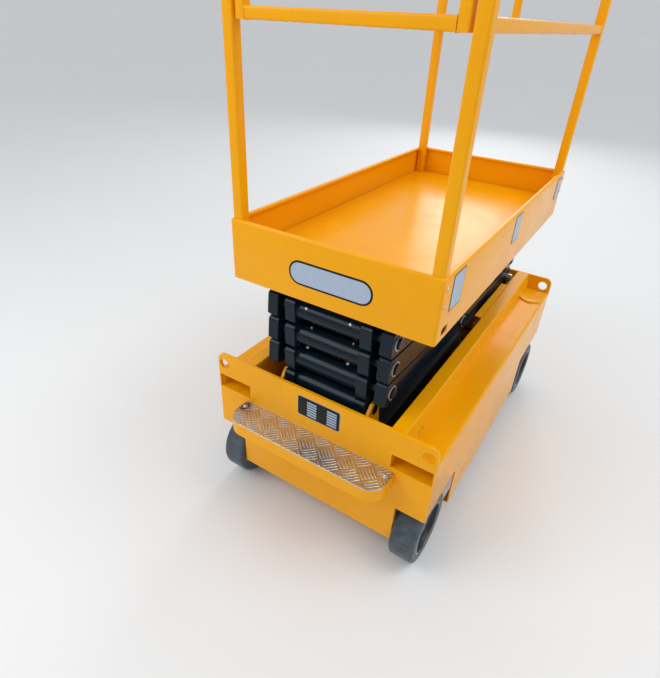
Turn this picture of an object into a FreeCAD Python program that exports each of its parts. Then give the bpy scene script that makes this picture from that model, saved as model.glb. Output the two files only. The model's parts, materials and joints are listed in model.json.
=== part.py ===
import FreeCAD, Part
import math
import os

# Small self-propelled scissor lift, folded down and parked.
# Millimetres. +X runs from the entry step to the steered end, +Y is the left side, +Z is up.
# The origin lies on the ground, below the middle of the machine's outline.

V = FreeCAD.Vector

# Chassis sizes
CHASSIS_WIDTH = 740.0
REAR_FACE_X = -568.0
FRONT_FACE_X = 656.0
REAR_PANEL_T = 12.0
FRONT_PANEL_T = 10.0
CHASSIS_TOP_Z = 516.0
BEAM_TOP_Z = 455.0
CHASSIS_BOTTOM_Z = 104.0
SHEET_T = 4.0
BEAM_WIDTH = 141.0
RIB_WIDTH = 43.0
RIB_BEND_R = 4.0
RIB_SLOPE = 8.0
BEAM_BEND_R = 9.0
SKIRT_LIP = 16.0
ARCH_TOP_Z = 260.0
ARCH_LINER_T = 5.0
ARCH_CORNER_R = 22.0
REAR_ARCH_LENGTH = 216.0
FRONT_ARCH_LENGTH = 268.0
NOTCH_TOP_Z = 243.0
PANEL_WHEEL_GAP = 2.0
PANEL_CORNER_R = 25.0
FRONT_PAN_WALL_TOP_Z = 222.0
PAN_T = 6.0
RIB_SLOT_FROM_REAR = 83.0
RIB_SLOT_RISE = 6.0
RIB_SLOT_LENGTH = 33.0
RIB_SLOT_HEIGHT = 9.0

# Tie-down eyes and fork pockets
EAR_HOLE_R = 18.0
EAR_HOLE_Z = 479.0
REAR_EAR_INSET = 25.0
FRONT_EAR_INSET = 32.0
POCKET_WIDTH = 121.0
POCKET_BOTTOM_Z = 388.0
POCKET_HEIGHT = 48.0
POCKET_EDGE = 4.0
FORK_TUBE_LENGTH = 1010.0
FORK_TUBE_T = 4.0

# Entry step
STEP_TOP_Z = 375.0
STEP_DEPTH = 97.0
STEP_WIDTH = 520.0
STEP_CORNER_R = 50.0
STEP_PLATE_T = 4.0
STEP_LIP_DEPTH = 42.0
STEP_LIP_T = 3.0

# Wheels
WHEEL_R = 115.0
WHEEL_WIDTH = 80.0
WHEEL_INSET = 10.0
FRONT_WHEEL_OUT = 8.0
REAR_WHEEL_X = -473.0
FRONT_WHEEL_X = 550.0
RIM_R = 82.0
TYRE_SHOULDER = 8.0
HUB_RECESS = 16.0
HUB_BOSS_LENGTH = 8.0
HUB_BACK_INSET = 4.0
HUB_R = 34.0
AXLE_R = 15.0
RUNNING_GAP = 0.5
AXLE_PLATE_T = 12.0
AXLE_PLATE_GAP = 6.0
AXLE_PLATE_WIDTH = 84.0
AXLE_PLATE_DROP = 34.0

# Steering
KINGPIN_R = 15.0
KINGPIN_HOUSING_R = 26.0
KINGPIN_CAP_R = 45.0
KINGPIN_CAP_T = 6.0
KNUCKLE_PLATE_T = 10.0
KNUCKLE_CLEARANCE = 6.0
KNUCKLE_PLATE_R = 28.0
STEERING_ARM = 45.0
TIE_ROD_T = 10.0
TIE_ROD_WIDTH = 14.0
TIE_ROD_EYE_R = 8.0
MOTOR_R = 42.0
MOTOR_LENGTH = 56.0
MOTOR_PAN_GAP = 21.0
KINGPIN_TOP_GAP = 6.0

# Scissor stack
STAGES = 4
PIVOT_X = -500.0
LEVEL_0_Z = 497.0
LEVEL_PITCH = 78.5
ARM_LENGTH = 1103.0
ARM_HEIGHT = 73.0
ARM_WIDTH = 35.0
ARM_WALL = 4.0
ARM_END = 35.0
ARM_END_CUT = 7.0
TOP_ARM_END = 31.0
TOP_ARM_END_CUT = 22.0
OUTER_ARM_INSET = 53.5
ARM_GAP = 23.0
CROSS_TUBE_R = 22.0
PIN_R = 15.0
PIN_OUT = 8.5
PIN_BUSH_R = 22.0
LUG_PIN_OUT = 2.5
LUG_T = 10.0
LUG_SIDE_GAP = 5.0
LUG_R = 26.0
LUG_CORNER = 12.0
LUG_BOTTOM_Z = 300.0

# Rollers and their rails
ROLLER_R = 16.0
ROLLER_LENGTH = 20.0
ROLLER_SIDE_GAP = 3.0
RAIL_WIDTH = 24.0
RAIL_T = 3.0
RAIL_REAR_X = 150.0
RAIL_TOP_END_X = 480.0

# Lift cylinder, between the two inner frames at the bottom
BARREL_PIVOT_ALONG = 132.0
BARREL_PIVOT_ACROSS = 12.0
ROD_PIVOT_FROM_END = 132.0
ROD_PIVOT_ACROSS = -24.0
BARREL_R = 32.0
BARREL_START = 34.0
ROD_R = 18.0
CYLINDER_EYE_R = 22.0
CYLINDER_EYE_WIDTH = 44.0
CYLINDER_PIN_R = 12.0
BARREL_END_T = 30.0
ROD_END_GAP = 4.0
GLAND_LENGTH = 34.0
GLAND_T = 4.0
NECK_SHARE = 0.8
ROD_SHOWING = 26.0
MOUNT_TUBE_R = 12.0
MOUNT_TUBE_ACROSS = 24.0
MOUNT_LUG_T = 9.0
MOUNT_LUG_GAP = 1.0
MOUNT_LUG_EDGE = 6.0

# Platform
PLATFORM_LENGTH = 1195.0
PLATFORM_WIDTH = 598.0
PLATFORM_REAR_X = -550.0
SKIRT_BOTTOM_Z = 788.0
FLOOR_TOP_Z = 857.0
TOE_BOARD_TOP_Z = 955.0
PLATFORM_SHEET_T = 3.0
TOE_FOLD_WIDTH = 14.0
BOARD_GAP = 0.3
SKIRT_SLOT_LENGTH = 38.0
SKIRT_SLOT_HEIGHT = 22.0
SKIRT_SLOT_R = 8.0
GUIDE_T = 12.0
GUIDE_REAR_X = 150.0
GUIDE_SLOT_GAP = 0.5
GUIDE_EDGE = 11.0
PLATFORM_LUG_T = 10.0
PLATFORM_LUG_GAP = 5.5

# Guardrail
POST_SIZE = 30.0
POST_WALL = 2.5
POST_INSET = 3.0
RAIL_SIZE = 25.0
MID_RAIL_Z = 1407.0
TOP_RAIL_Z = 1957.0
GATE_TUBE = 25.0
GATE_SIDE_GAP = 6.0
GATE_HINGE_R = 8.0
GATE_HINGE_GAP = 1.0
GATE_HINGE_PIN_R = 4.0
GATE_HINGE_LENGTH = 20.0
GATE_HINGE_INSET = 90.0
CONTROL_BOX_DEPTH = 110.0
CONTROL_BOX_WIDTH = 190.0
CONTROL_BOX_HEIGHT = 150.0
CONTROL_BOX_SLOPE = 52.5
CONTROL_BOX_MID_Y = -150.0
CONTROL_BOX_EDGE_R = 6.0
CONTROL_BOX_LOW_R = 10.0
CONTROL_BOX_BROW_R = 14.0
CONTROL_STICK_R = 9.0
CONTROL_STICK_FROM_RAIL = 49.5
CONTROL_STICK_IN = 75.0
CONTROL_STICK_OUT = 27.5

# Battery and pump, one plain mass under the scissor stack
POWER_BLOCK_X = (-420.0, 330.0)
POWER_BLOCK_WIDTH = 260.0
POWER_BLOCK_TOP_Z = 330.0

# Places that follow from the sizes
HALF_WIDTH = CHASSIS_WIDTH / 2
HALF_WELL = HALF_WIDTH - BEAM_WIDTH
RIB_OUTER_Y = HALF_WELL + RIB_WIDTH
REAR_INNER_X = REAR_FACE_X + REAR_PANEL_T
FRONT_INNER_X = FRONT_FACE_X - FRONT_PANEL_T
REAR_EAR_Y = HALF_WIDTH - REAR_EAR_INSET
FRONT_EAR_Y = HALF_WIDTH - FRONT_EAR_INSET
POCKET_OUTER_Y = HALF_WIDTH - POCKET_EDGE
POCKET_INNER_Y = POCKET_OUTER_Y - POCKET_WIDTH
POCKET_TOP_Z = POCKET_BOTTOM_Z + POCKET_HEIGHT
FOLDED_ANGLE = math.degrees(math.asin(LEVEL_PITCH / ARM_LENGTH))
ARM_RUN = math.sqrt(ARM_LENGTH ** 2 - LEVEL_PITCH ** 2)
FRONT_PIVOT_X = PIVOT_X + ARM_RUN
ROD_PIVOT_ALONG = ARM_LENGTH - ROD_PIVOT_FROM_END
OUTER_ARM_MID_Y = HALF_WELL - OUTER_ARM_INSET
INNER_ARM_MID_Y = OUTER_ARM_MID_Y - ARM_WIDTH - ARM_GAP
INNER_ARM_OUT_Y = INNER_ARM_MID_Y + ARM_WIDTH / 2
INNER_ARM_IN_Y = INNER_ARM_MID_Y - ARM_WIDTH / 2
OUTER_ARM_OUT_Y = OUTER_ARM_MID_Y + ARM_WIDTH / 2
OUTER_ARM_IN_Y = OUTER_ARM_MID_Y - ARM_WIDTH / 2
PLATFORM_FRONT_X = PLATFORM_REAR_X + PLATFORM_LENGTH
HALF_PLATFORM = PLATFORM_WIDTH / 2
TOP_LEVEL_Z = LEVEL_0_Z + STAGES * LEVEL_PITCH
POST_MID_Y = HALF_PLATFORM - PLATFORM_SHEET_T - POST_INSET - POST_SIZE / 2
REAR_POST_X = PLATFORM_REAR_X + PLATFORM_SHEET_T + POST_INSET + POST_SIZE / 2
FRONT_POST_X = PLATFORM_FRONT_X - PLATFORM_SHEET_T - POST_INSET - POST_SIZE / 2
POST_IN_Y = POST_MID_Y - POST_SIZE / 2
GATE_END_Y = POST_IN_Y - GATE_SIDE_GAP
GATE_HINGE_X = REAR_POST_X + POST_SIZE / 2 + GATE_HINGE_R + GATE_HINGE_GAP
GATE_HINGE_Y = POST_IN_Y - GATE_SIDE_GAP / 2
GATE_HINGE_Z = (MID_RAIL_Z + GATE_HINGE_INSET, TOP_RAIL_Z - GATE_HINGE_INSET)
WHEEL_OUT_Y = HALF_WIDTH - WHEEL_INSET
WHEEL_MID_Y = WHEEL_OUT_Y - WHEEL_WIDTH / 2
WHEEL_IN_Y = WHEEL_OUT_Y - WHEEL_WIDTH
KNUCKLE_PLATE_Z = 2 * WHEEL_R + KNUCKLE_CLEARANCE
HANGER_OUT_Y = WHEEL_IN_Y - AXLE_PLATE_GAP
HANGER_IN_Y = HANGER_OUT_Y - AXLE_PLATE_T
HALF_FRONT_PAN = HANGER_IN_Y - MOTOR_LENGTH - MOTOR_PAN_GAP


def box(x0, x1, y0, y1, z0, z1):
    return Part.makeBox(x1 - x0, y1 - y0, z1 - z0, V(x0, y0, z0))


def fuse(shapes):
    whole = shapes[0]
    if len(shapes) > 1:
        whole = whole.fuse(list(shapes[1:]))
    return whole.removeSplitter()


def mirror_y(shape):
    return shape.mirror(V(0, 0, 0), V(0, 1, 0))


def both_sides(shape):
    return Part.makeCompound([shape, mirror_y(shape)])


def rod_x(y, z, radius, x0, x1):
    """Round bar along X."""
    return Part.makeCylinder(radius, x1 - x0, V(x0, y, z), V(1, 0, 0))


def rod_y(x, z, radius, y0, y1):
    """Round bar along Y."""
    return Part.makeCylinder(radius, y1 - y0, V(x, y0, z), V(0, 1, 0))


def rod_z(x, y, radius, z0, z1):
    """Round bar along Z."""
    return Part.makeCylinder(radius, z1 - z0, V(x, y, z0), V(0, 0, 1))


def outline_wire(corners):
    """Closed flat wire through (u, v, corner radius) in the XY plane, round corners as arcs."""
    count = len(corners)
    points = [V(u, v, 0) for u, v, _ in corners]
    stretches = []
    for i in range(count):
        here, radius = points[i], corners[i][2]
        back = (points[i - 1] - here).normalize()
        on = (points[(i + 1) % count] - here).normalize()
        if radius <= 0:
            stretches.append((here, None, here))
            continue
        half = back.getAngle(on) / 2
        cut = radius / math.tan(half)
        middle = (back + on).normalize()
        arc_point = here + middle * (radius / math.sin(half) - radius)
        stretches.append((here + back * cut, arc_point, here + on * cut))
    edges = []
    for i, (start, arc_point, end) in enumerate(stretches):
        if arc_point is not None:
            edges.append(Part.Arc(start, arc_point, end).toShape())
        following = stretches[(i + 1) % count][0]
        if end.distanceToPoint(following) > 1e-6:
            edges.append(Part.LineSegment(end, following).toShape())
    return Part.Wire(edges)


# Turns that lay a flat XY outline into another plane: (rotation, way the thickness grows)
PLANES = {
    "XY": FreeCAD.Rotation(),
    "YZ": FreeCAD.Rotation(V(0, 1, 0), V(0, 0, 1), V(1, 0, 0), "XYZ"),
    "XZ": FreeCAD.Rotation(V(1, 0, 0), V(0, 0, 1), V(0, -1, 0), "XYZ"),
}


def plate(plane, corners, low, high, holes=()):
    """Flat plate from an outline of (u, v, corner radius), thick from low to high across its plane."""
    solid = Part.Face(outline_wire(corners)).extrude(V(0, 0, high - low))
    for hole in holes:
        solid = solid.cut(Part.Face(outline_wire(hole)).extrude(V(0, 0, high - low)))
    # The XZ plane's own normal points to -Y, so its plate starts at the far face
    offset = {"XY": V(0, 0, low), "YZ": V(low, 0, 0), "XZ": V(0, high, 0)}[plane]
    solid.Placement = FreeCAD.Placement(offset, PLANES[plane])
    return solid


def rectangle(u0, u1, v0, v1, radius=0.0):
    return [(u0, v0, radius), (u1, v0, radius), (u1, v1, radius), (u0, v1, radius)]


def turned(shape, degrees, x, z):
    """The shape raised by an angle at its +X end, about a Y axis through (x, z)."""
    copy = shape.copy()
    copy.rotate(V(x, 0, z), V(0, -1, 0), degrees)
    return copy


def level_z(level):
    return LEVEL_0_Z + level * LEVEL_PITCH


# Chassis


def rear_end_panel():
    half_lower = WHEEL_IN_Y - PANEL_WHEEL_GAP
    right = [(half_lower, CHASSIS_BOTTOM_Z, 0), (half_lower, NOTCH_TOP_Z, 0),
             (HALF_WIDTH, NOTCH_TOP_Z, 0), (HALF_WIDTH, CHASSIS_TOP_Z, PANEL_CORNER_R)]
    left = [(-y, z, r) for y, z, r in reversed(right)]
    pocket = rectangle(POCKET_INNER_Y, POCKET_OUTER_Y, POCKET_BOTTOM_Z, POCKET_TOP_Z)
    mirrored = rectangle(-POCKET_OUTER_Y, -POCKET_INNER_Y, POCKET_BOTTOM_Z, POCKET_TOP_Z)
    panel = plate("YZ", right + left, REAR_FACE_X, REAR_INNER_X, [pocket, mirrored])
    for y in (-REAR_EAR_Y, REAR_EAR_Y):
        panel = panel.cut(rod_x(y, EAR_HOLE_Z, EAR_HOLE_R, REAR_FACE_X, REAR_INNER_X))
    return panel


def front_end_panel():
    right = [(HALF_FRONT_PAN, CHASSIS_BOTTOM_Z, 0), (HALF_FRONT_PAN, ARCH_TOP_Z, 0),
             (HALF_WIDTH, ARCH_TOP_Z, 0), (HALF_WIDTH, CHASSIS_TOP_Z, PANEL_CORNER_R)]
    left = [(-y, z, r) for y, z, r in reversed(right)]
    panel = plate("YZ", right + left, FRONT_INNER_X, FRONT_FACE_X)
    for y in (-FRONT_EAR_Y, FRONT_EAR_Y):
        panel = panel.cut(rod_x(y, EAR_HOLE_Z, EAR_HOLE_R, FRONT_INNER_X, FRONT_FACE_X))
    return panel


def beam_section():
    """Folded sheet of the left side beam: well wall, raised rib, top, outer skirt and its lip."""
    t = SHEET_T
    wall_bottom = ARCH_TOP_Z + ARCH_LINER_T
    step_y = RIB_OUTER_Y + RIB_SLOPE
    outer = [(HALF_WELL, wall_bottom, 0), (HALF_WELL, CHASSIS_TOP_Z, RIB_BEND_R),
             (RIB_OUTER_Y, CHASSIS_TOP_Z, RIB_BEND_R), (step_y, BEAM_TOP_Z, 0),
             (HALF_WIDTH, BEAM_TOP_Z, BEAM_BEND_R), (HALF_WIDTH, CHASSIS_BOTTOM_Z, 0),
             (HALF_WIDTH - SKIRT_LIP, CHASSIS_BOTTOM_Z, 0)]
    inner = [(HALF_WIDTH - SKIRT_LIP, CHASSIS_BOTTOM_Z + t, 0), (HALF_WIDTH - t, CHASSIS_BOTTOM_Z + t, 0),
             (HALF_WIDTH - t, BEAM_TOP_Z - t, 0), (step_y - t, BEAM_TOP_Z - t, 0),
             (RIB_OUTER_Y - t, CHASSIS_TOP_Z - t, 0), (HALF_WELL + t, CHASSIS_TOP_Z - t, 0),
             (HALF_WELL + t, wall_bottom, 0)]
    return outer + inner


def side_beam(steer_x):
    """Left side beam with its wheel arches, arch liners and the kingpin's housing."""
    beam = plate("YZ", beam_section(), REAR_INNER_X, FRONT_INNER_X)
    arches = [
        (REAR_INNER_X, REAR_INNER_X + REAR_ARCH_LENGTH),
        (FRONT_INNER_X - FRONT_ARCH_LENGTH, FRONT_INNER_X),
    ]
    cut_inner_y = HALF_WIDTH - SKIRT_LIP
    for (x0, x1), round_rear in zip(arches, (False, True)):
        radii = (ARCH_CORNER_R, 0) if round_rear else (0, ARCH_CORNER_R)
        arch = [(x0, 0, 0), (x1, 0, 0), (x1, ARCH_TOP_Z, radii[1]), (x0, ARCH_TOP_Z, radii[0])]
        beam = beam.cut(plate("XZ", arch, cut_inner_y, HALF_WIDTH))
        liner = box(x0, x1, HALF_WELL, HALF_WIDTH - SHEET_T, ARCH_TOP_Z, ARCH_TOP_Z + ARCH_LINER_T)
        beam = beam.fuse(liner)
    slot_x = REAR_FACE_X + RIB_SLOT_FROM_REAR
    slot_z = BEAM_TOP_Z + RIB_SLOT_RISE
    beam = beam.cut(box(slot_x, slot_x + RIB_SLOT_LENGTH, RIB_OUTER_Y - SHEET_T, RIB_OUTER_Y + RIB_SLOPE + 1,
                        slot_z, slot_z + RIB_SLOT_HEIGHT))
    housing = rod_z(steer_x, WHEEL_MID_Y, KINGPIN_HOUSING_R, ARCH_TOP_Z, BEAM_TOP_Z)
    cap = rod_z(steer_x, WHEEL_MID_Y, KINGPIN_CAP_R, BEAM_TOP_Z - SHEET_T, BEAM_TOP_Z + KINGPIN_CAP_T)
    beam = fuse([beam, housing, cap])
    bore = rod_z(steer_x, WHEEL_MID_Y, KINGPIN_R + RUNNING_GAP, ARCH_TOP_Z - 1, BEAM_TOP_Z - SHEET_T)
    return beam.cut(bore)


def fork_tubes():
    """Square pockets behind the rear panel's openings, one along each beam."""
    t = FORK_TUBE_T
    outer = rectangle(POCKET_INNER_Y - t, HALF_WIDTH - SHEET_T, POCKET_BOTTOM_Z - t, POCKET_TOP_Z + t)
    inner = rectangle(POCKET_INNER_Y, HALF_WIDTH - SHEET_T - t, POCKET_BOTTOM_Z, POCKET_TOP_Z)
    return both_sides(plate("YZ", outer, REAR_INNER_X, REAR_INNER_X + FORK_TUBE_LENGTH, [inner]))


def chassis_pan():
    """Belly tray: full width between the wheels, narrow between the steered wheels."""
    wide_front_x = FRONT_INNER_X - FRONT_ARCH_LENGTH
    t = PAN_T
    half_front = HALF_FRONT_PAN
    floor_z = CHASSIS_BOTTOM_Z + t
    half_pan = HALF_WELL + SHEET_T
    liner_z = ARCH_TOP_Z
    wide_x0 = REAR_INNER_X
    pieces = [
        box(wide_x0, wide_front_x, -half_pan, half_pan, CHASSIS_BOTTOM_Z, floor_z),
        box(wide_front_x - t, FRONT_INNER_X, -half_front, half_front, CHASSIS_BOTTOM_Z, floor_z),
    ]
    for side in (-1, 1):
        y0, y1 = sorted((side * HALF_WELL, side * half_pan))
        pieces.append(box(wide_x0, wide_front_x, y0, y1, CHASSIS_BOTTOM_Z, liner_z))
        y0, y1 = sorted((side * (half_front - t), side * half_front))
        pieces.append(box(wide_front_x - t, FRONT_INNER_X, y0, y1, CHASSIS_BOTTOM_Z, FRONT_PAN_WALL_TOP_Z))
        y0, y1 = sorted((side * (half_front - t), side * half_pan))
        pieces.append(box(wide_front_x - t, wide_front_x, y0, y1, CHASSIS_BOTTOM_Z, FRONT_PAN_WALL_TOP_Z))
    return fuse(pieces)


def scissor_pivot_lugs():
    """Two upright plates that hold the bottom frame's rear pins."""
    y0 = INNER_ARM_OUT_Y + LUG_SIDE_GAP
    top = LEVEL_0_Z + LUG_R
    corners = [(REAR_INNER_X, LUG_BOTTOM_Z, 0), (PIVOT_X + 2 * LUG_R, LUG_BOTTOM_Z, 0),
               (PIVOT_X + LUG_R, top - LUG_CORNER, 0), (PIVOT_X + LUG_R - LUG_CORNER, top, 0),
               (PIVOT_X - LUG_R + LUG_CORNER, top, 0), (PIVOT_X - LUG_R, top - LUG_CORNER, 0),
               (REAR_INNER_X, LEVEL_0_Z - LUG_R, 0)]
    lug = plate("XZ", corners, y0, y0 + LUG_T)
    lug = lug.cut(rod_y(PIVOT_X, LEVEL_0_Z, PIN_R + RUNNING_GAP, y0 - 1, y0 + LUG_T + 1))
    return both_sides(lug)


def roller_rails():
    """C rails along the well walls, open to the middle, their top flange cut short at the steered end."""
    y_in = HALF_WELL - RAIL_WIDTH
    low = LEVEL_0_Z - ROLLER_R - RUNNING_GAP
    high = LEVEL_0_Z + ROLLER_R + RUNNING_GAP
    t = RAIL_T
    web = box(RAIL_REAR_X, FRONT_INNER_X, HALF_WELL - t, HALF_WELL, low - t, high + t)
    bottom = box(RAIL_REAR_X, FRONT_INNER_X, y_in, HALF_WELL, low - t, low)
    top = box(RAIL_REAR_X, RAIL_TOP_END_X, y_in, HALF_WELL, high, high + t)
    return both_sides(fuse([web, bottom, top]))


def step_outline(inset=0.0):
    half = STEP_WIDTH / 2 - inset
    front = REAR_FACE_X - STEP_DEPTH + inset
    radius = STEP_CORNER_R - inset
    return [(REAR_FACE_X, -half, 0), (REAR_FACE_X, half, 0), (front, half, radius), (front, -half, radius)]


def step_bracket():
    """Folded tray under the step's tread."""
    under_z = STEP_TOP_Z - STEP_PLATE_T
    tray = plate("XY", step_outline(), under_z - STEP_LIP_DEPTH, under_z)
    hollow = plate("XY", step_outline(STEP_LIP_T), under_z - STEP_LIP_DEPTH, under_z - STEP_LIP_T)
    return tray.cut(hollow)


def step_plate():
    return plate("XY", step_outline(), STEP_TOP_Z - STEP_PLATE_T, STEP_TOP_Z)


def power_block():
    x0, x1 = POWER_BLOCK_X
    half = POWER_BLOCK_WIDTH / 2
    return box(x0, x1, -half, half, CHASSIS_BOTTOM_Z + PAN_T, POWER_BLOCK_TOP_Z)


# Wheels and steering


def axle_stub(x, out=0.0):
    """Left stub axle, from its hanger plate out into the hub's boss."""
    return rod_y(x, WHEEL_R, AXLE_R, HANGER_OUT_Y - 1, WHEEL_OUT_Y + out - HUB_RECESS)


def hanger(x, half_top, top_z):
    """Left upright plate inside a wheel, narrowed to a foot with cut corners below the axle."""
    low = WHEEL_R - AXLE_PLATE_DROP
    drop = AXLE_PLATE_DROP
    cut = AXLE_PLATE_DROP / 2
    corners = [(x - half_top, top_z, 0), (x - drop, low + cut, 0), (x - drop + cut, low, 0),
               (x + drop - cut, low, 0), (x + drop, low + cut, 0), (x + half_top, top_z, 0)]
    return plate("XZ", corners, HANGER_IN_Y, HANGER_OUT_Y)


def rear_axles():
    """Hanger plates below the arch liners, each with its stub axle."""
    left = hanger(REAR_WHEEL_X, AXLE_PLATE_WIDTH / 2, ARCH_TOP_Z)
    return both_sides(fuse([left, axle_stub(REAR_WHEEL_X)]))


def knuckle():
    """Left steering knuckle: kingpin, plate over the wheel, leg inside it, stub axle and drive motor."""
    x, y, r = FRONT_WHEEL_X, WHEEL_MID_Y, KNUCKLE_PLATE_R
    z0 = KNUCKLE_PLATE_Z
    z1 = z0 + KNUCKLE_PLATE_T
    top = plate("XY", [(x - r, HANGER_IN_Y, 0), (x + r, HANGER_IN_Y, 0), (x + r, y + r / 2, 0),
                       (x + r / 2, y + r, 0), (x - r / 2, y + r, 0), (x - r, y + r / 2, 0)], z0, z1)
    half_eye = TIE_ROD_WIDTH / 2
    arm = box(x - STEERING_ARM - half_eye, x, y - half_eye, y + half_eye, z0, z1)
    leg = hanger(x, r, z1)
    kingpin = rod_z(x, y, KINGPIN_R, z1 - 1, BEAM_TOP_Z - SHEET_T - KINGPIN_TOP_GAP)
    motor = rod_y(x, WHEEL_R, MOTOR_R, HANGER_IN_Y - MOTOR_LENGTH, HANGER_IN_Y + 1)
    tie_pin = rod_z(x - STEERING_ARM, y, TIE_ROD_EYE_R / 2, z1 - 1, z1 + TIE_ROD_T)
    return fuse([top, arm, leg, kingpin, motor, tie_pin, axle_stub(x, FRONT_WHEEL_OUT)])


def tie_rod():
    x, r = FRONT_WHEEL_X - STEERING_ARM, TIE_ROD_EYE_R
    z0 = KNUCKLE_PLATE_Z + KNUCKLE_PLATE_T + RUNNING_GAP
    z1 = z0 + TIE_ROD_T - RUNNING_GAP
    bar = box(x - r / 2, x + r / 2, -WHEEL_MID_Y, WHEEL_MID_Y, z0, z1)
    ends = [box(x - r, x + r, y - r, y + r, z0, z1) for y in (-WHEEL_MID_Y, WHEEL_MID_Y)]
    holes = [rod_z(x, y, r / 2 + RUNNING_GAP, z0 - 1, z1 + 1) for y in (-WHEEL_MID_Y, WHEEL_MID_Y)]
    return fuse([bar] + ends).cut(holes)


def revolve_y(profile, x, y):
    """Solid turned about a wheel's axle: profile points are (distance out along Y, radius)."""
    face = Part.Face(outline_wire([(out, radius, 0) for out, radius in profile]))
    solid = face.revolve(V(0, 0, 0), V(1, 0, 0), 360)
    solid.Placement = FreeCAD.Placement(V(x, y, WHEEL_R), FreeCAD.Rotation(V(0, 0, 1), 90))
    return solid


def tyre(x, mid_y):
    """Left tyre: flat tread, with its outer shoulder worn off at a slant."""
    half, s = WHEEL_WIDTH / 2, TYRE_SHOULDER
    profile = [(-half, RIM_R), (half, RIM_R), (half, WHEEL_R - s), (half - s, WHEEL_R), (-half, WHEEL_R)]
    return revolve_y(profile, x, mid_y)


def hub(x, mid_y):
    """Left wheel's centre, set back in the tyre, with the boss that turns on the stub axle."""
    bore = AXLE_R + RUNNING_GAP
    back = -WHEEL_WIDTH / 2 + HUB_BACK_INSET
    boss_face = WHEEL_WIDTH / 2 - HUB_RECESS
    disc_face = boss_face - HUB_BOSS_LENGTH
    profile = [(back, bore), (boss_face, bore), (boss_face, HUB_R), (disc_face, HUB_R),
               (disc_face, RIM_R), (back, RIM_R)]
    return revolve_y(profile, x, mid_y)


# Scissor stack


def straight_arm(mid_y, pin_holes, under_platform=None):
    """Level hollow arm along +X from level 0's rear pivot, its corners cut more at an end under the floor."""
    half = ARM_HEIGHT / 2
    y0, y1 = mid_y - ARM_WIDTH / 2, mid_y + ARM_WIDTH / 2
    x0, x1, z = PIVOT_X, PIVOT_X + ARM_LENGTH, LEVEL_0_Z
    plain, top = (ARM_END, ARM_END_CUT), (TOP_ARM_END, TOP_ARM_END_CUT)
    rear_end, rear_cut = top if under_platform == "rear" else plain
    front_end, front_cut = top if under_platform == "front" else plain
    rear_x, front_x = x0 - rear_end, x1 + front_end
    bar = plate("XZ", [(rear_x, z - half + rear_cut, 0), (rear_x + rear_cut, z - half, 0),
                       (front_x - front_cut, z - half, 0), (front_x, z - half + front_cut, 0),
                       (front_x, z + half - front_cut, 0), (front_x - front_cut, z + half, 0),
                       (rear_x + rear_cut, z + half, 0), (rear_x, z + half - rear_cut, 0)], y0, y1)
    w = ARM_WALL
    pivots = [x0, (x0 + x1) / 2, x1]
    for left, right in zip(pivots[:-1], pivots[1:]):
        reach = PIN_BUSH_R + w
        bar = bar.cut(box(left + reach, right - reach, y0 + w, y1 - w, z - half + w, z + half - w))
    if pin_holes:
        holes = [rod_y(x, z, PIN_R + RUNNING_GAP, y0 - 1, y1 + 1) for x in pivots]
        bar = bar.cut(holes)
    return bar


def placed(shape, stage, rising):
    """A level shape of stage 0 turned to the folded angle and moved up to its stage."""
    if rising:
        copy = turned(shape, FOLDED_ANGLE, PIVOT_X, LEVEL_0_Z)
        copy.translate(V(0, 0, stage * LEVEL_PITCH))
    else:
        copy = turned(shape, -FOLDED_ANGLE, PIVOT_X, LEVEL_0_Z)
        copy.translate(V(0, 0, (stage + 1) * LEVEL_PITCH))
    return copy


def inner_frame(stage):
    """Two inner arms, low at the step end, joined by their cross tubes and the cylinder's mount."""
    top_end = "front" if stage == STAGES - 1 else None
    arm = straight_arm(INNER_ARM_MID_Y, pin_holes=False, under_platform=top_end)
    ends = [PIVOT_X, PIVOT_X + ARM_LENGTH]
    if stage > 1:
        ends.append(PIVOT_X + ARM_LENGTH / 2)
    tubes = [rod_y(x, LEVEL_0_Z, CROSS_TUBE_R, -INNER_ARM_IN_Y - 1, INNER_ARM_IN_Y + 1) for x in ends]
    shapes = [arm, mirror_y(arm)] + tubes
    if stage == 0:
        shapes += cylinder_mount(BARREL_PIVOT_ALONG, BARREL_PIVOT_ACROSS, -MOUNT_TUBE_ACROSS)
        pin_x, pin_z = PIVOT_X + BARREL_PIVOT_ALONG, LEVEL_0_Z + BARREL_PIVOT_ACROSS
        half = CYLINDER_EYE_WIDTH / 2 + MOUNT_LUG_GAP + MOUNT_LUG_T
        shapes.append(rod_y(pin_x, pin_z, CYLINDER_PIN_R, -half, half))
    if stage == 1:
        shapes += cylinder_mount(ROD_PIVOT_ALONG, ROD_PIVOT_ACROSS, MOUNT_TUBE_ACROSS)
    return placed(fuse(shapes), stage, rising=True)


def cylinder_mount(along, across, tube_across):
    """Cross tube with two lugs that take one end of the lift cylinder."""
    x = PIVOT_X + along
    pivot_z = LEVEL_0_Z + across
    tube_z = LEVEL_0_Z + tube_across
    tube = rod_y(x, tube_z, MOUNT_TUBE_R, -INNER_ARM_IN_Y - 1, INNER_ARM_IN_Y + 1)
    y0 = CYLINDER_EYE_WIDTH / 2 + MOUNT_LUG_GAP
    r = CYLINDER_PIN_R + MOUNT_LUG_EDGE
    low, high = sorted((pivot_z, tube_z))
    cut = MOUNT_LUG_EDGE
    corners = [(x - r, low - r + cut, 0), (x - r + cut, low - r, 0), (x + r - cut, low - r, 0),
               (x + r, low - r + cut, 0), (x + r, high + r - cut, 0), (x + r - cut, high + r, 0),
               (x - r + cut, high + r, 0), (x - r, high + r - cut, 0)]
    lug = plate("XZ", corners, y0, y0 + MOUNT_LUG_T)
    return [tube, lug, mirror_y(lug)]


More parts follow.
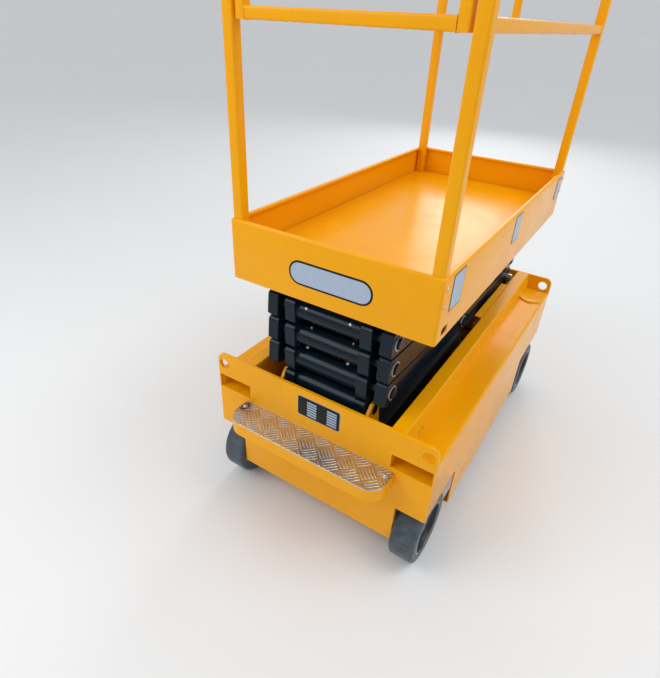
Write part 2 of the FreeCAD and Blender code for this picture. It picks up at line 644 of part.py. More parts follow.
def outer_arms(stage):
    """Left and right outer arms, high at the step end, that turn on the inner frames' pins."""
    top_end = "rear" if stage == STAGES - 1 else None
    arm = straight_arm(OUTER_ARM_MID_Y, pin_holes=True, under_platform=top_end)
    return placed(both_sides(arm), stage, rising=False)


def pin(x, radius, reach_y):
    """Left pin of an inner arm, standing out of its outer face."""
    return rod_y(x, LEVEL_0_Z, radius, INNER_ARM_OUT_Y, reach_y)


def scissor_pins(stage):
    """Pins that each inner frame carries at its rear end, middle and front end, on both sides."""
    through_outer_arm = OUTER_ARM_OUT_Y + PIN_OUT
    through_lug = INNER_ARM_OUT_Y + LUG_SIDE_GAP + LUG_T + LUG_PIN_OUT
    through_guide = INNER_ARM_OUT_Y + LUG_SIDE_GAP + GUIDE_T + LUG_PIN_OUT
    # Columns: distance along the arm, radius, end of the pin
    pins = [
        (0, PIN_R, through_lug if stage == 0 else through_outer_arm),
        (ARM_LENGTH / 2, PIN_R, through_outer_arm),
        (ARM_LENGTH, ROLLER_R if stage == STAGES - 1 else PIN_R,
         through_guide if stage == STAGES - 1 else through_outer_arm),
    ]
    side = Part.makeCompound([pin(PIVOT_X + along, radius, reach) for along, radius, reach in pins])
    return placed(both_sides(side), stage, rising=True)


def chassis_rollers():
    """Rollers on the bottom outer arms' low ends, in the chassis rails."""
    x, z = FRONT_PIVOT_X, LEVEL_0_Z
    roller_y = OUTER_ARM_OUT_Y + ROLLER_SIDE_GAP
    bush = rod_y(x, z, PIN_R, OUTER_ARM_IN_Y, roller_y + 1)
    roller = rod_y(x, z, ROLLER_R, roller_y, roller_y + ROLLER_LENGTH)
    return both_sides(fuse([bush, roller]))


# Lift cylinder


def stage_point(stage, along, across):
    """Place of a point of an inner frame, given along and across its arm, when folded."""
    a = math.radians(FOLDED_ANGLE)
    x = PIVOT_X + along * math.cos(a) - across * math.sin(a)
    z = level_z(stage) + along * math.sin(a) + across * math.cos(a)
    return V(x, 0, z)


BARREL_PIVOT = stage_point(0, BARREL_PIVOT_ALONG, BARREL_PIVOT_ACROSS)
ROD_PIVOT = stage_point(1, ROD_PIVOT_ALONG, ROD_PIVOT_ACROSS)
CYLINDER_LINE = ROD_PIVOT - BARREL_PIVOT
CLOSED_LENGTH = CYLINDER_LINE.Length
CYLINDER_ANGLE = math.degrees(math.atan2(CYLINDER_LINE.z, CYLINDER_LINE.x))


def along_cylinder(shape):
    """A shape drawn along +X from the origin, laid on the cylinder's line."""
    copy = turned(shape, CYLINDER_ANGLE, 0, 0)
    copy.translate(BARREL_PIVOT)
    return copy


def barrel_end():
    return CLOSED_LENGTH - CYLINDER_EYE_R - ROD_SHOWING


def lift_cylinder_barrel():
    half = CYLINDER_EYE_WIDTH / 2
    end = barrel_end()
    eye = rod_y(0, 0, CYLINDER_EYE_R, -half, half)
    neck_half = CYLINDER_EYE_R * NECK_SHARE
    neck = box(0, BARREL_START + 1, -half, half, -neck_half, neck_half)
    tube = rod_x(0, 0, BARREL_R, BARREL_START, end - GLAND_LENGTH)
    gland = rod_x(0, 0, BARREL_R + GLAND_T, end - GLAND_LENGTH - 1, end)
    whole = fuse([eye, neck, tube, gland])
    whole = whole.cut(rod_y(0, 0, CYLINDER_PIN_R + RUNNING_GAP, -half - 1, half + 1))
    whole = whole.cut(rod_x(0, 0, ROD_R + RUNNING_GAP, BARREL_START + BARREL_END_T, end + 1))
    return along_cylinder(whole)


def lift_cylinder_rod():
    half = CYLINDER_EYE_WIDTH / 2
    rod = rod_x(0, 0, ROD_R, BARREL_START + BARREL_END_T + ROD_END_GAP, CLOSED_LENGTH - CYLINDER_EYE_R / 2)
    eye = rod_y(CLOSED_LENGTH, 0, CYLINDER_EYE_R, -half, half)
    whole = fuse([rod, eye])
    return along_cylinder(whole.cut(rod_y(CLOSED_LENGTH, 0, CYLINDER_PIN_R, -half - 1, half + 1)))


# Platform


def folded_board(x0, x1, y_out, y_in):
    """Board along X: skirt and toe board in one sheet, its top edge folded inwards to y_in."""
    t = math.copysign(PLATFORM_SHEET_T, y_in - y_out)
    y0, y1 = sorted((y_out, y_out + t))
    wall = box(x0, x1, y0, y1, SKIRT_BOTTOM_Z, TOE_BOARD_TOP_Z)
    y0, y1 = sorted((y_out, y_in))
    return wall.fuse(box(x0, x1, y0, y1, TOE_BOARD_TOP_Z - PLATFORM_SHEET_T, TOE_BOARD_TOP_Z))


def side_board():
    """Left board: notched round the posts' feet, with a slot in front of the top pin."""
    fold_y = HALF_PLATFORM - TOE_FOLD_WIDTH
    board = folded_board(PLATFORM_REAR_X, PLATFORM_FRONT_X, HALF_PLATFORM, fold_y)
    reach = POST_SIZE / 2 + RUNNING_GAP
    for x in (REAR_POST_X, FRONT_POST_X):
        board = board.cut(box(x - reach, x + reach, POST_MID_Y - reach, POST_MID_Y + reach,
                              TOE_BOARD_TOP_Z - 2 * PLATFORM_SHEET_T, TOE_BOARD_TOP_Z + 1))
    x0 = PIVOT_X - SKIRT_SLOT_LENGTH / 2
    z0 = TOP_LEVEL_Z - SKIRT_SLOT_HEIGHT / 2
    slot = rectangle(x0, x0 + SKIRT_SLOT_LENGTH, z0, z0 + SKIRT_SLOT_HEIGHT, SKIRT_SLOT_R)
    cutter = plate("XZ", slot, HALF_PLATFORM - PLATFORM_SHEET_T - 1, HALF_PLATFORM + 1)
    return board.cut(cutter).removeSplitter()


def end_board(x_out, inwards):
    """Board across one end, between the side boards; inwards is 1 or -1 along X."""
    half = HALF_PLATFORM - PLATFORM_SHEET_T - BOARD_GAP
    half_top = HALF_PLATFORM - TOE_FOLD_WIDTH - BOARD_GAP
    half_fold = POST_IN_Y - RUNNING_GAP
    fold_low = TOE_BOARD_TOP_Z - PLATFORM_SHEET_T
    x0, x1 = sorted((x_out, x_out + inwards * PLATFORM_SHEET_T))
    wall = box(x0, x1, -half, half, SKIRT_BOTTOM_Z, fold_low - BOARD_GAP)
    top = box(x0, x1, -half_top, half_top, fold_low - BOARD_GAP, TOE_BOARD_TOP_Z)
    x0, x1 = sorted((x_out, x_out + inwards * TOE_FOLD_WIDTH))
    fold = box(x0, x1, -half_fold, half_fold, fold_low, TOE_BOARD_TOP_Z)
    return fuse([wall, top, fold])


def platform_tray():
    """Floor sheet, with boards on its four edges that are skirt below it and toe board above."""
    inset = PLATFORM_SHEET_T + BOARD_GAP
    half = HALF_PLATFORM - inset
    x0, x1 = PLATFORM_REAR_X + inset, PLATFORM_FRONT_X - inset
    floor = box(x0, x1, -half, half, FLOOR_TOP_Z - PLATFORM_SHEET_T, FLOOR_TOP_Z)
    board = side_board()
    boards = [board, mirror_y(board), end_board(PLATFORM_REAR_X, 1), end_board(PLATFORM_FRONT_X, -1)]
    return Part.makeCompound([floor] + boards)


def platform_underframe():
    """Lugs with the top rear pins, and slotted plates that guide the top frame's front end."""
    top = FLOOR_TOP_Z - PLATFORM_SHEET_T
    lug_y0 = OUTER_ARM_OUT_Y + PLATFORM_LUG_GAP
    r, cut = LUG_R, LUG_CORNER
    low = TOP_LEVEL_Z - r
    lug = plate("XZ", [(PIVOT_X - r, low + cut, 0), (PIVOT_X - r + cut, low, 0), (PIVOT_X + r - cut, low, 0),
                       (PIVOT_X + r, low + cut, 0), (PIVOT_X + 2 * r, top, 0), (PIVOT_X - r, top, 0)],
                lug_y0, lug_y0 + PLATFORM_LUG_T)
    rear = fuse([lug, rod_y(PIVOT_X, TOP_LEVEL_Z, PIN_R, OUTER_ARM_IN_Y - PIN_OUT, lug_y0 + 1)])
    guide_y = INNER_ARM_OUT_Y + LUG_SIDE_GAP
    guide_front = PLATFORM_FRONT_X - PLATFORM_SHEET_T - BOARD_GAP
    slot_half = ROLLER_R + GUIDE_SLOT_GAP
    bottom = TOP_LEVEL_Z - slot_half - GUIDE_EDGE
    slot = rectangle(GUIDE_REAR_X + GUIDE_EDGE, guide_front - GUIDE_EDGE, TOP_LEVEL_Z - slot_half,
                     TOP_LEVEL_Z + slot_half)
    guide = plate("XZ", rectangle(GUIDE_REAR_X, guide_front, bottom, top), guide_y, guide_y + GUIDE_T, [slot])
    return Part.makeCompound([rear, mirror_y(rear), guide, mirror_y(guide)])


def square_tube(axis, a0, a1, mid_u, mid_v, size):
    """Square tube along an axis; mid_u and mid_v are its place on the two other axes, in XYZ order."""
    half = size / 2
    if axis == "Z":
        outer = box(mid_u - half, mid_u + half, mid_v - half, mid_v + half, a0, a1)
        h = half - POST_WALL
        return outer.cut(box(mid_u - h, mid_u + h, mid_v - h, mid_v + h, a0 - 1, a1 - POST_WALL))
    if axis == "X":
        return box(a0, a1, mid_u - half, mid_u + half, mid_v - half, mid_v + half)
    return box(mid_u - half, mid_u + half, a0, a1, mid_v - half, mid_v + half)


def rail_heights():
    return [MID_RAIL_Z, TOP_RAIL_Z - RAIL_SIZE / 2]


def gate_hinge_posts():
    """Hinge leaves and their pins on the left rear post."""
    shapes = []
    r = GATE_HINGE_R
    for z in GATE_HINGE_Z:
        x0, x1 = GATE_HINGE_X - r - GATE_HINGE_GAP, GATE_HINGE_X + r
        shapes.append(box(x0, x1, GATE_HINGE_Y - r, POST_IN_Y + 2 * r, z - GATE_HINGE_LENGTH, z))
        shapes.append(rod_z(GATE_HINGE_X, GATE_HINGE_Y, GATE_HINGE_PIN_R, z - 1, z + GATE_HINGE_LENGTH))
    return shapes


def guardrail_side():
    """Guardrail of one side: two posts and two rails."""
    posts = [square_tube("Z", FLOOR_TOP_Z, TOP_RAIL_Z, x, POST_MID_Y, POST_SIZE)
             for x in (REAR_POST_X, FRONT_POST_X)]
    x0, x1 = REAR_POST_X + POST_SIZE / 2, FRONT_POST_X - POST_SIZE / 2
    rails = [square_tube("X", x0, x1, POST_MID_Y, z, RAIL_SIZE) for z in rail_heights()]
    return fuse(posts + rails)


def guardrail_front():
    half = POST_MID_Y - POST_SIZE / 2
    rails = [square_tube("Y", -half, half, FRONT_POST_X, z, RAIL_SIZE) for z in rail_heights()]
    upright = square_tube("Z", MID_RAIL_Z + RAIL_SIZE / 2, TOP_RAIL_Z - RAIL_SIZE, FRONT_POST_X, 0, RAIL_SIZE)
    return fuse(rails + [upright])


def gate():
    """Half-height entry gate between the rear posts, hinged on the left one, opening inwards."""
    half = GATE_END_Y
    x = REAR_POST_X
    g = GATE_TUBE
    z0, z1 = MID_RAIL_Z - g / 2, TOP_RAIL_Z
    stiles = [square_tube("Z", z0, z1, x, side * (half - g / 2), g) for side in (-1, 1)]
    bars = [square_tube("Y", -half + g, half - g, x, z, g) for z in (MID_RAIL_Z, TOP_RAIL_Z - g / 2)]
    middle = square_tube("Y", -half + g, half - g, x, (MID_RAIL_Z + TOP_RAIL_Z) / 2, g)
    hinges = []
    for z in GATE_HINGE_Z:
        low, high = z + RUNNING_GAP, z + GATE_HINGE_LENGTH
        leaf = box(x + g / 2 - 1, GATE_HINGE_X, half - GATE_HINGE_R, half, low, high)
        barrel = rod_z(GATE_HINGE_X, GATE_HINGE_Y, GATE_HINGE_R, low, high)
        bore = rod_z(GATE_HINGE_X, GATE_HINGE_Y, GATE_HINGE_PIN_R + RUNNING_GAP, low - 1, high + 1)
        hinges.append(leaf.fuse(barrel).cut(bore))
    return fuse(stiles + bars + [middle] + hinges)


def control_box():
    """Operator's box behind the front top rail, its top sloping down to the operator, with a stick."""
    x1 = FRONT_POST_X - RAIL_SIZE / 2
    x0 = x1 - CONTROL_BOX_DEPTH
    z1 = TOP_RAIL_Z - RAIL_SIZE / 2
    z0 = z1 - CONTROL_BOX_HEIGHT
    y0 = CONTROL_BOX_MID_Y - CONTROL_BOX_WIDTH / 2
    corners = [(x0, z0, CONTROL_BOX_LOW_R), (x1, z0, CONTROL_BOX_EDGE_R), (x1, z1, CONTROL_BOX_EDGE_R),
               (x0, z1 - CONTROL_BOX_SLOPE, CONTROL_BOX_BROW_R)]
    housing = plate("XZ", corners, y0, y0 + CONTROL_BOX_WIDTH)
    stick = rod_z(x1 - CONTROL_STICK_FROM_RAIL, CONTROL_BOX_MID_Y, CONTROL_STICK_R, z1 - CONTROL_STICK_IN,
                  z1 + CONTROL_STICK_OUT)
    return fuse([housing, stick])


def add_wheels(nodes):
    """Four wheels: name, axle place, middle of the left wheel across, and side."""
    front_mid_y = WHEEL_MID_Y + FRONT_WHEEL_OUT
    wheels = [
        ("rear_left", REAR_WHEEL_X, WHEEL_MID_Y, 1),
        ("rear_right", REAR_WHEEL_X, WHEEL_MID_Y, -1),
        ("front_left", FRONT_WHEEL_X, front_mid_y, 1),
        ("front_right", FRONT_WHEEL_X, front_mid_y, -1),
    ]
    for name, x, mid_y, side in wheels:
        parts = {"tyre": tyre(x, mid_y), "hub": hub(x, mid_y)}
        for kind, shape in parts.items():
            nodes[f"{kind}_{name}"] = shape if side > 0 else mirror_y(shape)


def build_nodes():
    beam = side_beam(FRONT_WHEEL_X)
    left_knuckle = knuckle()
    rail = guardrail_side()
    hinged_rail = fuse([rail] + gate_hinge_posts())
    nodes = {
        "rear_end_panel": rear_end_panel(),
        "front_end_panel": front_end_panel(),
        "side_beam_left": beam,
        "side_beam_right": mirror_y(beam),
        "fork_tubes": fork_tubes(),
        "chassis_pan": chassis_pan(),
        "scissor_pivot_lugs": scissor_pivot_lugs(),
        "roller_rails": roller_rails(),
        "step_bracket": step_bracket(),
        "step_plate": step_plate(),
        "power_block": power_block(),
        "rear_axles": rear_axles(),
        "knuckle_left": left_knuckle,
        "knuckle_right": mirror_y(left_knuckle),
        "tie_rod": tie_rod(),
        "chassis_rollers": chassis_rollers(),
        "lift_cylinder_barrel": lift_cylinder_barrel(),
        "lift_cylinder_rod": lift_cylinder_rod(),
        "platform_tray": platform_tray(),
        "platform_underframe": platform_underframe(),
        "guardrail_left": hinged_rail,
        "guardrail_right": mirror_y(rail),
        "guardrail_front": guardrail_front(),
        "gate": gate(),
        "control_box": control_box(),
    }
    for stage in range(STAGES):
        nodes[f"inner_frame_{stage}"] = inner_frame(stage)
        nodes[f"outer_arms_{stage}"] = outer_arms(stage)
        nodes[f"scissor_pins_{stage}"] = scissor_pins(stage)
    add_wheels(nodes)
    return nodes


def main():
    os.makedirs("parts", exist_ok=True)
    for name, shape in build_nodes().items():
        if not shape.isValid():
            raise ValueError(f"{name} is not a valid shape")
        shape.exportStep(f"parts/{name}.step")
        box_now = shape.BoundBox
        print(f"{name:24s} solids {len(shape.Solids)}  volume {shape.Volume / 1e6:8.3f} l  "
              f"x {box_now.XMin:7.1f} {box_now.XMax:7.1f}  y {box_now.YMin:7.1f} {box_now.YMax:7.1f}  "
              f"z {box_now.ZMin:7.1f} {box_now.ZMax:7.1f}")


main()
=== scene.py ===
import json
import math

import bmesh
import bpy
from mathutils import Matrix, Vector


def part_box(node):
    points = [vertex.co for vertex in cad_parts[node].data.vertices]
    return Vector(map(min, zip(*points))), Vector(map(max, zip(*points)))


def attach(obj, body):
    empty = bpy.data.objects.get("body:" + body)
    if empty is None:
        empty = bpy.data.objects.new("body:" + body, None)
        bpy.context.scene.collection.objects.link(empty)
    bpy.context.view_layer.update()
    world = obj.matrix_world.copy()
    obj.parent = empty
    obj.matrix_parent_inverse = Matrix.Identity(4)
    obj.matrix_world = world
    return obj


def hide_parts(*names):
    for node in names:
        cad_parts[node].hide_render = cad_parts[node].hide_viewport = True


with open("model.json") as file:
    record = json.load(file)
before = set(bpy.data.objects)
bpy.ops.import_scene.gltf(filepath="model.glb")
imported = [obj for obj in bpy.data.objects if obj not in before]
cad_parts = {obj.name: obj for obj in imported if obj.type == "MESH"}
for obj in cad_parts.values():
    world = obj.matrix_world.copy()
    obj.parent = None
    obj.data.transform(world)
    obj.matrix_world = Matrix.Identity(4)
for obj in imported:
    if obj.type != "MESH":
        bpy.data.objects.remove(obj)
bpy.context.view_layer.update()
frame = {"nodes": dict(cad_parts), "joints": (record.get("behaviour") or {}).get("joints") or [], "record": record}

bl_info = {
    "name": "Scissor Lift Finish",
    "version": (1, 0, 0),
    "blender": (4, 5, 0),
    "location": "3D View > Sidebar > Scissor Lift",
    "description": "Paint, metal, rubber and small fittings of a compact scissor lift",
    "category": "Object",
}

MM = 0.001
SIDES = (1, -1)
ARC_STEPS = 6
MERGE_DISTANCE = 1e-6
FLAT_ANGLE = math.radians(0.6)
EDGE_ANGLE = math.radians(32)

BODY_OF = {node: body for body, nodes in frame["record"]["behaviour"]["bodies"].items() for node in nodes}
JOINT_AT = {joint["name"]: Vector(joint["pos_m"]) for joint in frame["joints"] if joint["type"] == "hinge"}

# The photograph's camera, fitted to the machine's edges: place, then heading, pitch down and roll in degrees
PHOTO_SIDE_PX = 678
CAMERA_FOCUS_PX = 505.68
CAMERA_PLACE = Vector((-1.490, -0.5955, 1.4096))
CAMERA_TURN = (31.319, 32.608, 2.979)
SENSOR = 36.0
CLIP_END = 1000

# Soft light: name, place, size, power
LIGHT_AIM = Vector((0.0, 0.0, 0.6))
SOFT_LIGHTS = (
    ("key_light", (-2.4, 1.7, 2.7), (2.0, 2.0), 38.0),
    ("fill_light", (0.5, -2.8, 4.6), (3.0, 2.0), 74.0),
    ("far_light", (5.6, 1.6, 3.4), (1.2, 4.2), 54.0),
    ("beam_light", (5.6, 0.35, 3.9), (1.1, 1.8), 18.0),
)
# The room is an even pale dome, a little brighter overhead; the horizon is as bright as the floor far off
ROOM_COLOUR = "F1F3F6"
HORIZON_STRENGTH = 0.62
OVERHEAD_STRENGTH = 0.78

# Sizes that the small forms share, in metres
POST_SIZE = 30 * MM
RAIL_SIZE = 25 * MM
MID_RAIL_Z = 1407 * MM
GATE_SIDE_GAP = 6 * MM
GATE_HINGE_R = 8 * MM
GATE_HINGE_PIN_R = 4 * MM
GATE_HINGE_LENGTH = 20 * MM
GATE_HINGE_INSET = 90 * MM
FLOOR_GAP = 3.5 * MM
TOE_FOLD = 14 * MM
TOE_FOLD_LIP = 9 * MM
ARM_INNER_Y = 100 * MM
CROSS_TUBE_R = 29 * MM
# Grease nipples on the rear cross tubes: stage, place across, degrees up from the front, height
NIPPLES = ((3, 0.070, 140, 1.3), (3, -0.066, 140, 1.3), (2, 0.065, 95, 1.3), (2, -0.069, 95, 1.3),
           (1, 0.086, 70, 2.0), (1, -0.050, 70, 2.0))
POST_BOLT_Z = (0.9275, 0.882)
BEAD_R = 1.8 * MM
LID_SLOPE_DROP = 52.5 * MM
STICK_FROM_FRONT = 49.5 * MM
TREAD_PHASE_Y = -0.033

# Blank signs, as low and high place across and up
RATING_PLATE = (-0.081, 0.063, 0.425, 0.495)
CAPACITY_SIGN = (-0.134, 0.108, 0.831, 0.897)
SKIRT_SIGNS = ((-0.496, -0.422, 0.855, 0.947), (-0.010, 0.056, 0.864, 0.948), (0.539, 0.604, 0.866, 0.941))
# Their borders in mm: width, outer corner, inner corner, thickness of the border's film
PLATE_BORDER = (1.5, 9, 7, 0.7)
CAPACITY_BORDER = (5.2, 32, 27, 0.6)
SKIRT_BORDER = (3, 3, 2, 0.6)
FIELD_T = 0.4 * MM

# Planes that a flat outline (u, v) and its thickness w are laid in
IN_XY = Matrix.Identity(4)
IN_XZ = Matrix(((1, 0, 0, 0), (0, 0, 1, 0), (0, 1, 0, 0), (0, 0, 0, 1)))
IN_YZ = Matrix(((0, 0, 1, 0), (1, 0, 0, 0), (0, 1, 0, 0), (0, 0, 0, 1)))

# Places read from the frame, in metres
REAR_FACE_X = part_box("rear_end_panel")[0].x
STEP_LOW, STEP_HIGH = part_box("step_plate")
TRAY_LOW, TRAY_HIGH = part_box("platform_tray")
RAIL_LOW, RAIL_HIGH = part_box("guardrail_left")
BOX_LOW, BOX_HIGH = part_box("control_box")
LID_HIGH_Z = RAIL_HIGH.z - RAIL_SIZE / 2
LID_LOW_Z = LID_HIGH_Z - LID_SLOPE_DROP
POST_MID_Y = RAIL_HIGH.y - POST_SIZE / 2
POST_IN_Y = RAIL_HIGH.y - POST_SIZE
REAR_POST_X = RAIL_LOW.x + POST_SIZE / 2
FRONT_POST_X = RAIL_HIGH.x - POST_SIZE / 2
HINGE_Z = (MID_RAIL_Z + GATE_HINGE_INSET, RAIL_HIGH.z - GATE_HINGE_INSET)
STAGES = 4
PIVOT_X = JOINT_AT["lift"].x
LEVEL_0_Z = JOINT_AT["lift"].z
PIN_SPAN_X = 2 * (JOINT_AT["cross_0"].x - PIVOT_X)
LEVEL_PITCH = 2 * (JOINT_AT["cross_0"].z - LEVEL_0_Z)

# Kinds of node that many trees use, and their common settings
NOISE = "ShaderNodeTexNoise"
RANGE = "ShaderNodeMapRange"
MIX = "ShaderNodeMix"
BUMP = "ShaderNodeBump"
MATH = "ShaderNodeMath"
TO_POINTS = "GeometryNodeInstanceOnPoints"
COLOUR = {"data_type": "RGBA"}
TIMES = {"operation": "MULTIPLY"}


# Colour and node helpers


def linear(code):
    """Linear colour, with full alpha, of an sRGB hex value."""
    channels = [int(code[i:i + 2], 16) / 255 for i in (0, 2, 4)]
    return [c / 12.92 if c <= 0.04045 else ((c + 0.055) / 1.055) ** 2.4 for c in channels] + [1.0]


def per_mm(size):
    """Noise scale whose grain is that many millimetres."""
    return 1 / (size * MM)


def wire(tree, node, sockets):
    """Sets a node's inputs: a value stays on the socket, an output or a node's first output is linked to it."""
    for key, value in sockets.items():
        if isinstance(value, bpy.types.Node):
            value = value.outputs[0]
        if isinstance(value, bpy.types.NodeSocket):
            tree.links.new(value, node.inputs[key])
        else:
            node.inputs[key].default_value = value


def add_node(tree, kind, settings=None, sockets=None):
    """A node of a tree with its own settings and its inputs' values or links."""
    node = tree.nodes.new(kind)
    for name, value in (settings or {}).items():
        setattr(node, name, value)
    wire(tree, node, sockets or {})
    return node


def new_material(name):
    """A material, its tree, its shader and the piece's own coordinates in metres."""
    made = bpy.data.materials.new(name)
    made.use_nodes = True
    tree = made.node_tree
    return made, tree, tree.nodes["Principled BSDF"], add_node(tree, "ShaderNodeTexCoord").outputs["Object"]


def finish(maker):
    """The material that a maker function gives, made once and named after it."""
    return bpy.data.materials.get(maker.__name__) or maker(maker.__name__)


# Materials


def powder_coat_yellow(name):
    """Polyester powder coat, sprayed on sheet steel and baked: glossy, with a faint orange peel."""
    made, tree, shader, place = new_material(name)
    colours = bpy.context.scene.scissor_lift_colours
    # Broad faint clouds keep large sheets from looking like flat colour
    cloud = add_node(tree, NOISE, None, {"Vector": place, "Scale": per_mm(240), "Detail": 3.0})
    cloud_share = add_node(tree, RANGE, None, {
        "Value": cloud, "From Min": 0.35, "From Max": 0.7, "To Max": 0.45})
    paint = add_node(tree, MIX, COLOUR, {
        0: cloud_share, 6: colours.frame_paint[:], 7: colours.frame_paint_deep[:]})
    # Road dust that gathers low on the chassis
    height = add_node(tree, "ShaderNodeSeparateXYZ", None, {0: place})
    low = add_node(tree, RANGE, None, {
        "Value": height.outputs[2], "From Min": 0.1, "From Max": 0.3, "To Min": 0.18, "To Max": 0.0})
    speck = add_node(tree, NOISE, None, {"Vector": place, "Scale": per_mm(22), "Detail": 5.0})
    dust = add_node(tree, MATH, TIMES, {0: low, 1: speck})
    dusty = add_node(tree, MIX, COLOUR, {0: dust, 6: paint.outputs[2], 7: linear("8A7A5C")})
    # The gloss is uneven from handling and wiping
    wipe = add_node(tree, NOISE, None, {"Vector": place, "Scale": per_mm(70), "Detail": 4.0})
    gloss = add_node(tree, RANGE, None, {
        "Value": wipe, "From Min": 0.3, "From Max": 0.7, "To Min": 0.2, "To Max": 0.29})
    # Orange peel is about 2 mm across, drawn at 6 mm so that it shows
    peel = add_node(tree, NOISE, None, {"Vector": place, "Scale": per_mm(6), "Detail": 1.0})
    bump = add_node(tree, BUMP, None, {"Strength": 0.015, "Distance": 0.4 * MM, "Height": peel})
    wire(tree, shader, {"Base Color": dusty.outputs[2], "Roughness": gloss, "Normal": bump, "IOR": 1.5,
                        "Specular IOR Level": 0.2})
    return made


def black_gloss_enamel(name):
    """Gloss enamel, sprayed on welded steel tube: thin grease and dust leave dull patches in the gloss."""
    made, tree, shader, place = new_material(name)
    colours = bpy.context.scene.scissor_lift_colours
    smear = add_node(tree, NOISE, None, {"Vector": place, "Scale": per_mm(60), "Detail": 5.0})
    gloss = add_node(tree, RANGE, None, {
        "Value": smear, "From Min": 0.35, "From Max": 0.7, "To Min": 0.14, "To Max": 0.26})
    dust = add_node(tree, RANGE, None, {"Value": smear, "From Min": 0.45, "From Max": 0.8, "To Max": 0.3})
    tint = add_node(tree, MIX, COLOUR, {0: dust, 6: colours.scissor_paint[:], 7: linear("14232E")})
    peel = add_node(tree, NOISE, None, {"Vector": place, "Scale": per_mm(6), "Detail": 1.0})
    bump = add_node(tree, BUMP, None, {"Strength": 0.09, "Distance": 0.4 * MM, "Height": peel})
    wire(tree, shader, {"Base Color": tint.outputs[2], "Roughness": gloss, "Normal": bump, "IOR": 1.5,
                        "Specular IOR Level": 0.2})
    return made


def mottled(name, grain, tones, rough, share=None, bump=None, sockets=None):
    """A finish whose colour, gloss and bump follow one noise.

    grain: size in mm and detail; tones: its two colours; rough: its range of roughness; share: the stretch of
    the noise that shows the second tone, and how far; bump: strength and height in mm.
    """
    made, tree, shader, place = new_material(name)
    size, detail = grain
    noise = add_node(tree, NOISE, None, {"Vector": place, "Scale": per_mm(size), "Detail": detail})
    blend = noise
    if share:
        start, end, most = share
        blend = add_node(tree, RANGE, None, {"Value": noise, "From Min": start, "From Max": end, "To Max": most})
    tint = add_node(tree, MIX, COLOUR, {0: blend, 6: tones[0], 7: tones[1]})
    gloss = add_node(tree, RANGE, None, {"Value": noise, "To Min": rough[0], "To Max": rough[1]})
    wire(tree, shader, {"Base Color": tint.outputs[2], "Roughness": gloss, **(sockets or {})})
    if bump:
        strength, depth = bump
        raised = add_node(tree, BUMP, None, {"Strength": strength, "Distance": depth * MM, "Height": noise})
        wire(tree, shader, {"Normal": raised})
    return made


def satin_dark_paint(name):
    """Satin chassis paint on brackets and castings, with a little grime."""
    return mottled(name, (35, 6.0), (linear("1E2022"), linear("3A3833")), (0.4, 0.62),
                   share=(0.4, 0.75, 0.6), bump=(0.12, 0.5))


def hub_enamel(name):
    """Dark baked enamel on the pressed wheel centres, dulled by brake and road dust."""
    return mottled(name, (18, 5.0), (linear("15181B"), linear("2B3135")), (0.35, 0.6),
                   share=(0.4, 0.8, 0.7), bump=(0.1, 0.4))


def bright_zinc(name):
    """Zinc-plated steel of pins, washers and bolts: cool, slightly cloudy metal."""
    return mottled(name, (9, 4.0), (linear("B9BDC0"), linear("DAD9D2")), (0.22, 0.4), bump=(0.06, 0.2),
                   sockets={"Metallic": 1.0})


def vinyl(name, code):
    """Printed vinyl film: flat colour with a faint mottle and a soft sheen."""
    clean = linear(code)
    dull = [channel * 0.86 for channel in clean[:3]] + [1.0]
    return mottled(name, (12, 3.0), (clean, dull), (0.3, 0.45), sockets={"Specular IOR Level": 0.2})


def pale_vinyl(name):
    return vinyl(name, "AEBDD0")


def black_vinyl(name):
    return vinyl(name, "0B0E13")


def hard_chrome(name):
    """Ground and hard-chromed piston rod: near mirror bright, its polish a little uneven."""
    made, tree, shader, place = new_material(name)
    polish = add_node(tree, NOISE, None, {"Vector": place, "Scale": per_mm(3), "Detail": 2.0})
    gloss = add_node(tree, RANGE, None, {"Value": polish, "To Min": 0.06, "To Max": 0.14})
    wire(tree, shader, {"Base Color": linear("D5D9DC"), "Metallic": 1.0, "Roughness": gloss})
    return made


def rolled_tread_aluminium(name):
    """Mill-finish aluminium, rolled with raised bars: bright, scuffed on top, a rust run by its loose bolt."""
    made, tree, shader, place = new_material(name)
    scuff = add_node(tree, NOISE, None, {"Vector": place, "Scale": per_mm(14), "Detail": 6.0})
    tint = add_node(tree, MIX, COLOUR, {0: scuff, 6: linear("AFA9A2"), 7: linear("E3DED6")})
    stain_at = add_node(tree, "ShaderNodeVectorMath", {"operation": "DISTANCE"}, {
        0: place, 1: tuple(rust_place())})
    stain = add_node(tree, RANGE, None, {
        "Value": stain_at.outputs[1], "From Min": 6 * MM, "From Max": 34 * MM, "To Min": 1.0, "To Max": 0.0})
    ragged = add_node(tree, MATH, TIMES, {0: stain, 1: scuff})
    edge = add_node(tree, RANGE, None, {"Value": ragged, "From Min": 0.12, "From Max": 0.4})
    rusty = add_node(tree, MIX, COLOUR, {0: edge, 6: tint.outputs[2], 7: linear("5A3B22")})
    bare = add_node(tree, RANGE, None, {"Value": edge, "To Min": 1.0, "To Max": 0.1})
    gloss = add_node(tree, RANGE, None, {"Value": scuff, "To Min": 0.22, "To Max": 0.44})
    bump = add_node(tree, BUMP, None, {"Strength": 0.15, "Distance": 0.3 * MM, "Height": scuff})
    wire(tree, shader, {"Base Color": rusty.outputs[2], "Metallic": bare, "Roughness": gloss, "Normal": bump})
    return made


